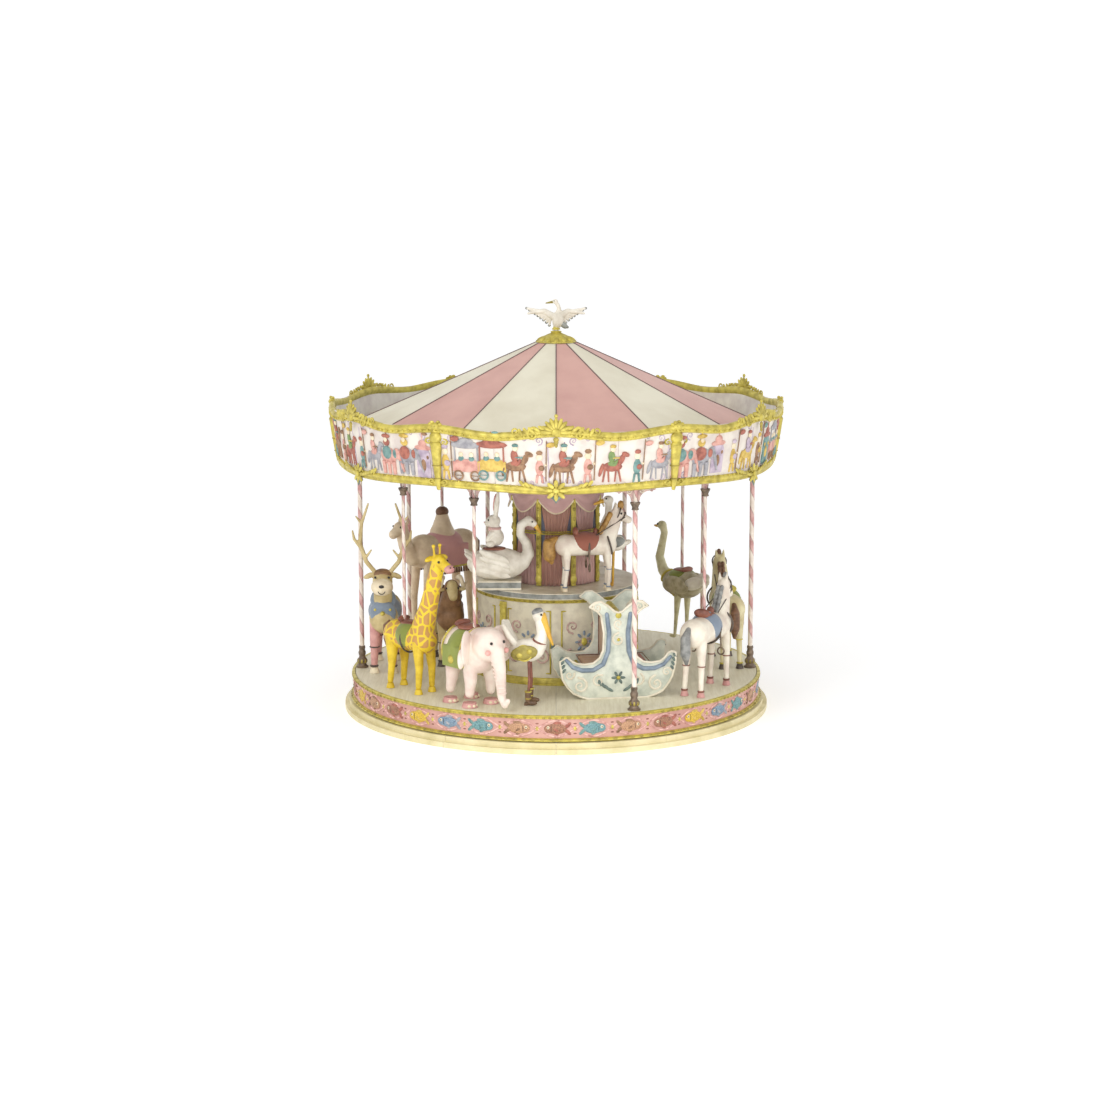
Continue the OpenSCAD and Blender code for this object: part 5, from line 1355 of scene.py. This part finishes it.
def trunked(name, skin, cloth, top):
    return model(name, [
        (skin, 0, 0, [flat(0, 0.17, 0.11, 0.085), flat(0.12, 0.2, 0.05, 0.055),
                      ("chain", [(0.15, -0.004, 0.19), (0.18, -0.004, 0.1), (0.2, -0.004, 0.04)],
                      [0.02, 0.014, 0.009], 8), stick(-0.07, 0.12, -0.07, 0.0, 0.024),
                      stick(0.0, 0.12, 0.0, 0.0, 0.022), stick(0.07, 0.12, 0.07, 0.0, 0.024)]),
        (cloth, 0, 0, [flat(-0.01, 0.2, 0.07, 0.065, 0, -0.01), flat(0.1, 0.2, 0.026, 0.042, 0, -0.012)]),
        (top, 0, 0, [flat(-0.01, 0.3, 0.045, 0.035, 0, -0.008), flat(-0.01, 0.36, 0.06, 0.02, 0, -0.008),
                     stick(-0.01, 0.3, -0.01, 0.43, 0.006)]),
        (skinCream, 0, 0, [flat(-0.01, 0.325, 0.022, 0.024, 0, -0.014)])])


def booth(name, wall, roof, trim):
    return model(name, [
        (wall, 0, 0, [("block", (0, -0.002, 0.12), (0.16, 0.014, 0.24)), flat(0, 0.24, 0.08, 0.05)]),
        (roof, 0, 0, [flat(0, 0.29, 0.1, 0.03), flat(0, 0.33, 0.05, 0.04), stick(0, 0.35, 0, 0.45, 0.006)]),
        (trim, 0, 0, [flat(0.035, 0.43, 0.035, 0.016), flat(0, 0.12, 0.03, 0.06, 0, -0.01),
                      flat(-0.055, 0.2, 0.014, 0.02, 0, -0.008),
                      flat(0.055, 0.2, 0.014, 0.02, 0, -0.008)])])


masters = [
    rider("parade", tintBrown, tintRed, tintTeal), walker("walkerA", tintTeal, tintRed, tintPink),
    trunked("trunkedA", tintGrey, tintRed, tintYellow), rider("riderB", tintYellow, tintMauve, tintRed),
    wagon("wagonA", tintPink, tintGrey, tintBrown), walker("walkerB", tintPink, tintBrown, tintYellow),
    rider("riderC", tintGrey, tintPink, tintBrown), booth("boothA", tintMauve, tintPink, tintBrown),
    walker("walkerC", tintBrown, tintYellow, tintTeal), wagon("wagonB", tintYellow, tintRed, tintTeal),
    rider("riderD", tintRed, tintGreen, tintYellow), trunked("trunkedB", tintPink, tintTeal, tintRed),
    walker("walkerD", tintYellow, tintMauve, tintRed), booth("boothB", tintTeal, tintRed, tintYellow)]
places = [[] for m in masters]
step = 360 / 60
for k in range(60):
    angle = -88 + k * step + random.uniform(-0.4, 0.4)
    which = (k * 5 + k // 14) % len(masters)
    base = 3.80 + random.uniform(-0.01, 0.02)
    grow = random.uniform(1.4, 1.56)
    places[which].append(facing(crownFace(base) + 0.001, angle, base, 8.1) @ Matrix.Scale(grow, 4))
for master, spotList in zip(masters, places):
    scatter(master, spotList)
paradePiece = joinAll(masters[0], masters[1:])
hold(paradePiece, "carousel", "scene_paint")
frameParts = []
for m in (-1, 1):
    frameParts += scroll(m * 0.66, 0.06, 0.05, 1.4, 90, -0.006, 0.011, -m) + scroll(m * 0.5, 0.04, 0.034, 1.2,
        270, -0.006, 0.009, m)
    frameParts += scroll(m * 0.62, 0.62, 0.06, 1.5, 270, -0.006, 0.011, m) + scroll(m * 0.42, 0.645, 0.036,
        1.2, 90, -0.006, 0.009, -m)
    frameParts += [("rod", (m * 0.74, -0.006, 0.04), (m * 0.74, -0.006, 0.6), 0.009, 0.009, 6)]
frame_ = model("scrollFrames", [(tintMauve, 0, 0, frameParts)])
hold(scatter(curl(frame_, 3.2), [facing(crownFace(3.76) - 0.004, 30 * k + 15, 3.76, 8.1) for k in range(12)]),
     "carousel", "scene_paint")
print("parade done")

# fascia: ribbed gold mouldings, wavy lozenges and a shoal of fish

upperSection = [(3.0, 0.48), (3.014, 0.476), (3.03, 0.48), (3.034, 0.492), (3.028, 0.5), (3.04, 0.508),
                (3.044, 0.52),
                (3.036, 0.529), (3.0, 0.529), (2.992, 0.505)]
lowerSection = [(3.0, 0.163), (3.05, 0.163), (3.06, 0.172), (3.056, 0.184), (3.04, 0.19), (3.044, 0.198),
                (3.03, 0.204), (3.0, 0.203)]
upperRail = paintWith(sweepRing("fasciaMouldings", upperSection, 240), gold)
lowerRail = paintWith(sweepRing("lowerRail", lowerSection, 240), gold)
ribs = []
for k in range(220):
    a = k * 2 * pi / 220
    ribs.append(("ball", (3.036 * cos(a), 3.036 * sin(a), 0.496), (0.013, 0.022, 0.018),
                 (0, 0, math.degrees(a)), 8))
for k in range(150):
    a = k * 2 * pi / 150
    ribs.append(("ball", (3.052 * cos(a), 3.052 * sin(a), 0.186), (0.01, 0.04, 0.014),
                 (0, 0, math.degrees(a)), 8))
hold(joinAll(upperRail, [lowerRail, model("ribs", [(goldDark, 0, 0, ribs)])]), "carousel", "gold_paint",
     "fascia_mouldings")


waveRose = handPaint("waveRose", tone(232, 190, 180), tone(178, 122, 114), 16, 0.5)


def lozenge(name, amp, radius, thick, material):
    ring = [(radius + thick * cos(a * pi / 3), 0.342 + thick * sin(a * pi / 3)) for a in range(6)]
    return paintWith(sweepRing(name, ring, 432, lambda t: amp * cos(18 * t)), material)


waves = joinAll(lozenge("fasciaWaves", 0.115, 3.012, 0.013, waveRose),
                [lozenge("waveB", -0.115, 3.012, 0.013, waveRose)])
knots = model("knots", [(gold, 0, 0, [("ball", (3.014 * cos(radians(10 * k + 5)),
                                                3.014 * sin(radians(10 * k + 5)), 0.342),
                                       (0.012, 0.03, 0.03), (0, 0, 10 * k + 5), 10) for k in range(36)]),
                        (leatherBrown, 0, 0, [("ball", (3.013 * cos(radians(10 * k + 5 + e)),
                                                        3.013 * sin(radians(10 * k + 5 + e)), 0.342 + f),
                                               (0.006, 0.024, 0.01), (0, 0, 10 * k + 5), 8)
                                              for k in range(36) for e, f in ((0, 0.07), (0, -0.07))])])
hold(joinAll(waves, [knots]), "carousel", "frieze_paint")

scaleBlue = cellPaint("scaleBlue", tone(136, 158, 176), tone(92, 112, 130), 34, 0.05)
scaleTan = cellPaint("scaleTan", tone(196, 152, 116), tone(150, 106, 78), 34, 0.05)
scaleYellow = cellPaint("scaleYellow", tone(224, 190, 66), tone(176, 138, 40), 34, 0.05)
scaleTeal = cellPaint("scaleTeal", tone(122, 162, 164), tone(78, 118, 122), 34, 0.05)
scaleBrown = cellPaint("scaleBrown", tone(170, 122, 94), tone(120, 82, 64), 34, 0.05)


def fish(name, skin, fin, way):
    body = [("ball", (0, -0.004, 0), (0.115, 0.013, 0.052), (0, 0, 0), 18),
            ("ball", (-0.07 * way, -0.004, 0.0), (0.06, 0.012, 0.042), (0, 0, 0), 14)]
    fins = [("ball", (0.125 * way, -0.003, 0.032), (0.045, 0.008, 0.018), (0, -38 * way, 0), 10),
            ("ball", (0.125 * way, -0.003, -0.032), (0.045, 0.008, 0.018), (0, 38 * way, 0), 10),
            ("ball", (0.01 * way, -0.003, 0.052), (0.05, 0.008, 0.018), (0, -8 * way, 0), 10),
            ("ball", (0.0, -0.003, -0.05), (0.03, 0.008, 0.014), (0, 20 * way, 0), 8),
            ("ball", (0.0, -0.016, -0.012), (0.03, 0.006, 0.012), (0, 30 * way, 0), 8)]
    return model(name, [(skin, 0, 0, body), (fin, 0, 0, fins),
                        (skinCream, 0, 0, [("ball", (-0.085 * way, -0.014, 0.012), (0.016, 0.007, 0.016),
                                            (0, 0, 0), 10)]),
                        (eyeDark, 0, 0, [("ball", (-0.086 * way, -0.02, 0.012), (0.007, 0.004, 0.007),
                                          (0, 0, 0), 8),
                                         ("ball", (-0.052 * way, -0.013, 0), (0.004, 0.005, 0.034), (0, 0, 0),
                                          8)])])


kinds = [(scaleBlue, tintGrey), (scaleTan, tintBrown), (scaleYellow, tintYellow), (scaleTeal, tintTeal),
         (scaleBrown, tintRed)]
shoal = [fish("fish_%d" % k, skin, fin, -1 if k % 2 else 1) for k, (skin, fin) in enumerate(kinds)]
for k, one in enumerate(shoal):
    scatter(one, [facing(3.012, 10 * j, 0.342) @ Matrix.Diagonal((1.3, 1.1, 1.45, 1)) for j in range(36)
                  if (j * 3 + j // 7) % 5 == k])
hold(joinAll(shoal[0], shoal[1:]), "carousel", "frieze_paint")
bubbles = model("fasciaLeaves", [(tintPink, 0, 0, [("ball", (3.012 * cos(radians(10 * k + d)),
                                                             3.012 * sin(radians(10 * k + d)), 0.342 + e),
                                                    (0.005, 0.02, 0.012), (0, 0, 10 * k), 8)
                                                   for k in range(36) for d,
                                                   e in ((-2.2, 0.085), (2.2, 0.085), (-2.2, -0.085),
                                                         (2.2, -0.085))])])
hold(bubbles, "carousel", "frieze_paint")
print("fascia done")

# drum: scrollwork, framed panels and gilt mouldings

drum = {"face": 1.182}
drumScrolls = []
for m in (-1, 1):
    drumScrolls += scroll(m * 0.2, 0.3, 0.12, 1.7, 90, -0.008, 0.016, -m) + scroll(m * 0.17, 0.75, 0.1, 1.5,
        270, -0.008, 0.014, m)
    drumScrolls += scroll(m * 0.06, 0.52, 0.055, 1.3, 0, -0.008, 0.012, m)
frameBars = [("rod", (-0.33, -0.004, 0.06), (0.33, -0.004, 0.06), 0.012),
             ("rod", (-0.33, -0.004, 0.98), (0.33, -0.004, 0.98), 0.012),
             ("rod", (-0.33, -0.004, 0.06), (-0.33, -0.004, 0.98), 0.012),
             ("rod", (0.33, -0.004, 0.06), (0.33, -0.004, 0.98), 0.012)]
drumArt = model("drumScrolls", [
    (carvedRose, 0, 0, drumScrolls), (gold, 0, 0, frameBars + [("ball", (0, -0.012, 0.52),
                                                                (0.045, 0.02, 0.06))]),
    (bandBlue, 0, 0, [("ball", (0.1 * cos(k * 0.785), -0.008, 0.52 + 0.13 * sin(k * 0.785)),
                       (0.04, 0.012, 0.02), (0, -45 * k, 0), 10)
                      for k in range(8)])])


def bendOnto(piece, radius):  # wraps a flat carving round the drum: x becomes an angle
    for vertex in piece.data.vertices:
        a = vertex.co.x / radius - pi / 2
        r = radius - vertex.co.y
        vertex.co = (r * cos(a), r * sin(a), vertex.co.z)


bendOnto(drumArt, drum["face"])
drumAngles = [-70, -110, -25, 25, 75, 105, 155, 205]
scatter(drumArt, [Matrix.Translation((0, 0, 0.64)) @ Matrix.Rotation(radians(a + 90), 4, "Z")
                  for a in drumAngles])
hold(drumArt, "carousel", "scene_paint")
topDrum = [(1.178, 1.742), (1.2, 1.74), (1.205, 1.752), (1.196, 1.76), (1.214, 1.772), (1.225, 1.786),
           (1.21, 1.789), (1.15, 1.789), (1.145, 1.76)]
footDrum = [(1.181, 0.532), (1.238, 0.532), (1.24, 0.56), (1.22, 0.575), (1.214, 0.6), (1.2, 0.612),
            (1.2, 0.63), (1.181, 0.634)]
pilaster = model("drumPilaster", [
    (gold, 0, 0, [("block", (0, -0.01, 0.53), (0.11, 0.03, 1.06)),
                  ("ball", (0, -0.024, 0.9), (0.045, 0.02, 0.075)),
                  ("ball", (0, -0.024, 0.16), (0.045, 0.02, 0.075))]
                  + [("rod", (x, -0.026, 0.27), (x, -0.026, 0.79), 0.009) for x in (-0.03, 0, 0.03)]
     + pair(lambda s: scroll(s * 0.035, 1.0, 0.028, 1.2, 90, -0.026, 0.008, -s)))])
scatter(pilaster, [facing(1.185, a, 0.655) for a in (-50, 0, 50, 130, 180, 230)])
drumRails = [paintWith(sweepRing("drumMouldings", topDrum, 144), gold),
             paintWith(sweepRing("drumFoot", footDrum, 144), gold)]
dents = model("dents", [(goldDark, 0, 0, [("ball", (1.212 * cos(radians(4 * k)), 1.212 * sin(radians(4 * k)),
                                                    1.764), (0.012, 0.024, 0.012), (0, 0, 4 * k), 8)
                                          for k in range(90)])])
hold(joinAll(drumRails[0], [drumRails[1], pilaster, dents]), "carousel", "gold_paint", "drum_mouldings")
slabEdge = paintWith(sweepRing("slabEdge", [(1.205, 1.80), (1.218, 1.805), (1.218, 1.865), (1.205, 1.872),
                                            (1.195, 1.84)], 120), featherGrey)
hold(slabEdge, "carousel", "ivory_paint")

pilasterParts = model("columnPilasters", [
    (gold, 0, 0, [("block", (0, 0.0, 0.88), (0.07, 0.03, 1.75)),
                  ("rod", (0, -0.016, 0.2), (0, -0.016, 1.4), 0.014),
                  ("ball", (0, -0.012, 0.1), (0.05, 0.02, 0.07)),
                  ("ball", (0, -0.012, 1.46), (0.05, 0.02, 0.07))]
     + pair(lambda s: [("rod", (s * 0.024, -0.014, 0.2), (s * 0.024, -0.014, 1.4), 0.006)])),
    (goldDark, 0, 0, [("ball", (0, -0.03, 0.3 + 0.14 * k), (0.022, 0.01, 0.03), (0, 0, 0), 10)
                      for k in range(8)])])
scatter(pilasterParts, [facing(0.66, 22.5 + 45 * k, 1.885) for k in range(8)])
hold(pilasterParts, "carousel", "gold_paint", "column_pilasters")
print("drum done")

# chariot cushions, swollen by a short cloth run

cushions = {"seat": (0.2853, 0, 0.4453, 0.404, 0.69, 0.076), "back": (0.1203, 0, 0.79, 0.076, 0.69, 0.584),
            "voxel": 0.006,
            "pressure": 4.0, "cap": 0.012}
seatTan = canvasPaint("seatTan", tone(186, 150, 116), tone(152, 116, 86))
seatBrick = canvasPaint("seatBrick", tone(170, 110, 94), tone(136, 82, 70))


def swell(piece):
    settings = piece.modifiers.new("swell", "CLOTH").settings
    settings.quality = 5
    settings.mass = 0.3
    settings.use_pressure = True
    settings.uniform_pressure_force = cushions["pressure"]
    settings.effector_weights.gravity = 0
    start = [v.co.copy() for v in piece.data.vertices]
    scene = bpy.context.scene
    for step_ in range(1, 21):
        scene.frame_set(step_)
        depsgraph = bpy.context.evaluated_depsgraph_get()
        moved = [v.co.copy() for v in piece.evaluated_get(depsgraph).data.vertices]
    piece.modifiers.remove(piece.modifiers["swell"])
    scene.frame_set(1)
    for vertex, a, b in zip(piece.data.vertices, start, moved):
        shift = b - a
        if shift.length > cushions["cap"]:
            shift *= cushions["cap"] / shift.length
        vertex.co = a + shift
    mod = piece.modifiers.new("smooth", "SUBSURF")
    mod.levels = 1
    bpy.context.view_layer.objects.active = piece
    bpy.ops.object.modifier_apply(modifier=mod.name)
    bpy.ops.object.shade_smooth()


def cushion(name, x, y, z, wide, long, thick, channels):
    piece = beginPiece(name)
    block((x, y, z), (wide - 0.02, long - 0.02, thick - 0.02))
    endPiece(piece)
    mod = piece.modifiers.new("round", "BEVEL")
    mod.width = 0.02
    mod.segments = 3
    bpy.ops.object.modifier_apply(modifier=mod.name)
    endPiece(piece, cushions["voxel"], 1)
    swell(piece)
    for vertex in piece.data.vertices:  # sewn channels across the pad
        dip = math.exp(-(((vertex.co.y / (long / channels) + 0.5) % 1 - 0.5) / 0.05) ** 2)
        edge = max(0, 1 - abs(vertex.co.y) / (long / 2 - 0.03))
        shrink = 1 - 0.11 * dip * min(1, edge * 4)
        if wide > thick:
            vertex.co.z = z + (vertex.co.z - z) * shrink
        else:
            vertex.co.x = x + (vertex.co.x - x) * shrink
    return piece


seatPad = cushion("chariotSeat_L", *cushions["seat"], 5)
backPad = cushion("chariotBack_L", *cushions["back"], 5)
for pad, label in ((seatPad, "Seat"), (backPad, "Back")):
    twin = pad.copy()
    twin.data = pad.data.copy()
    bpy.context.collection.objects.link(twin)
    twin.name = "chariot%s_R" % label
    twin.data.transform(Matrix.Rotation(pi, 4, "Z"))
    for one, finish in ((twin, seatTan), (pad, seatBrick)):
        paintWith(one, finish)
        place(one, spot(*chariot["at"]))
        hold(one, "carousel", "upholstery", "chariot_cushions")
piping = []
for m in (-1, 1):
    x0, x1, y0 = m * 0.082, m * 0.486, 0.342
    piping.append(("chain", [(x0, -y0, 0.484), (x1, -y0, 0.484), (x1, y0, 0.484), (x0, y0, 0.484),
                             (x0, -y0, 0.484)], [0.006] * 5, 8))
    piping.append(("chain", [(m * 0.158, -y0, 0.5), (m * 0.158, -y0, 1.078), (m * 0.158, y0, 1.078),
                             (m * 0.158, y0, 0.5)], [0.006] * 4, 8))
pipes = model("cushionPiping", [(leatherBrown, 0, 0, piping)])
place(pipes, spot(*chariot["at"]))
hold(pipes, "carousel", "upholstery")
print("cushions done")

# camera, lights and floor

camera = bpy.data.cameras.new("camera")
camera.sensor_width = 36
camera.lens = 81.4
camera.clip_end = 600
camera.shift_x = 0.0035
cameraObject = bpy.data.objects.new("camera", camera)
bpy.context.scene.collection.objects.link(cameraObject)
cameraObject.location = (0, -37.0, 8.95)
cameraObject.rotation_euler = (radians(90 - 10.4), 0, 0)
bpy.context.scene.camera = cameraObject

floorPaint = bpy.data.materials.new("floorPaint")
floorPaint.use_nodes = True
floorShader = floorPaint.node_tree.nodes["Principled BSDF"]
floorShader.inputs["Base Color"].default_value = (0.95, 0.95, 0.95, 1)
floorShader.inputs["Roughness"].default_value = 0.9
floorShader.inputs["Emission Color"].default_value = (1, 1, 1, 1)
floorShader.inputs["Emission Strength"].default_value = 0.24
deselect()
bpy.ops.mesh.primitive_plane_add(size=300, location=(0, 0, 0))
floor = bpy.context.object
floor.name = "floor"
bpy.ops.mesh.primitive_cylinder_add(vertices=96, radius=140, depth=44, end_fill_type="NOTHING",
                                    location=(0, 0, 21))
backdrop = bpy.context.object
backdrop.name = "backdrop"
for item in (floor, backdrop):
    paintWith(item, floorPaint)

world = bpy.data.worlds.new("studio")
bpy.context.scene.world = world
world.use_nodes = True
world.node_tree.nodes["Background"].inputs["Color"].default_value = (1, 1, 1, 1)
world.node_tree.nodes["Background"].inputs["Strength"].default_value = 0.78


def softLight(name, placeAt, target, size, power):
    light = bpy.data.lights.new(name, "AREA")
    light.size = size
    light.energy = power
    lamp = bpy.data.objects.new(name, light)
    bpy.context.scene.collection.objects.link(lamp)
    lamp.location = placeAt
    lamp.rotation_euler = (Vector(target) - Vector(placeAt)).to_track_quat("-Z", "Y").to_euler()


softLight("key", (-9, -14, 13), (0, 0, 2.5), 8, 900)
softLight("fill", (12, -12, 6), (0, 0, 2.5), 9, 420)
softLight("inner", (0, -9, 1.6), (0, 0, 2.0), 5, 150)
bpy.context.scene.view_settings.view_transform = "Standard"

print("camera, lights and floor ready")
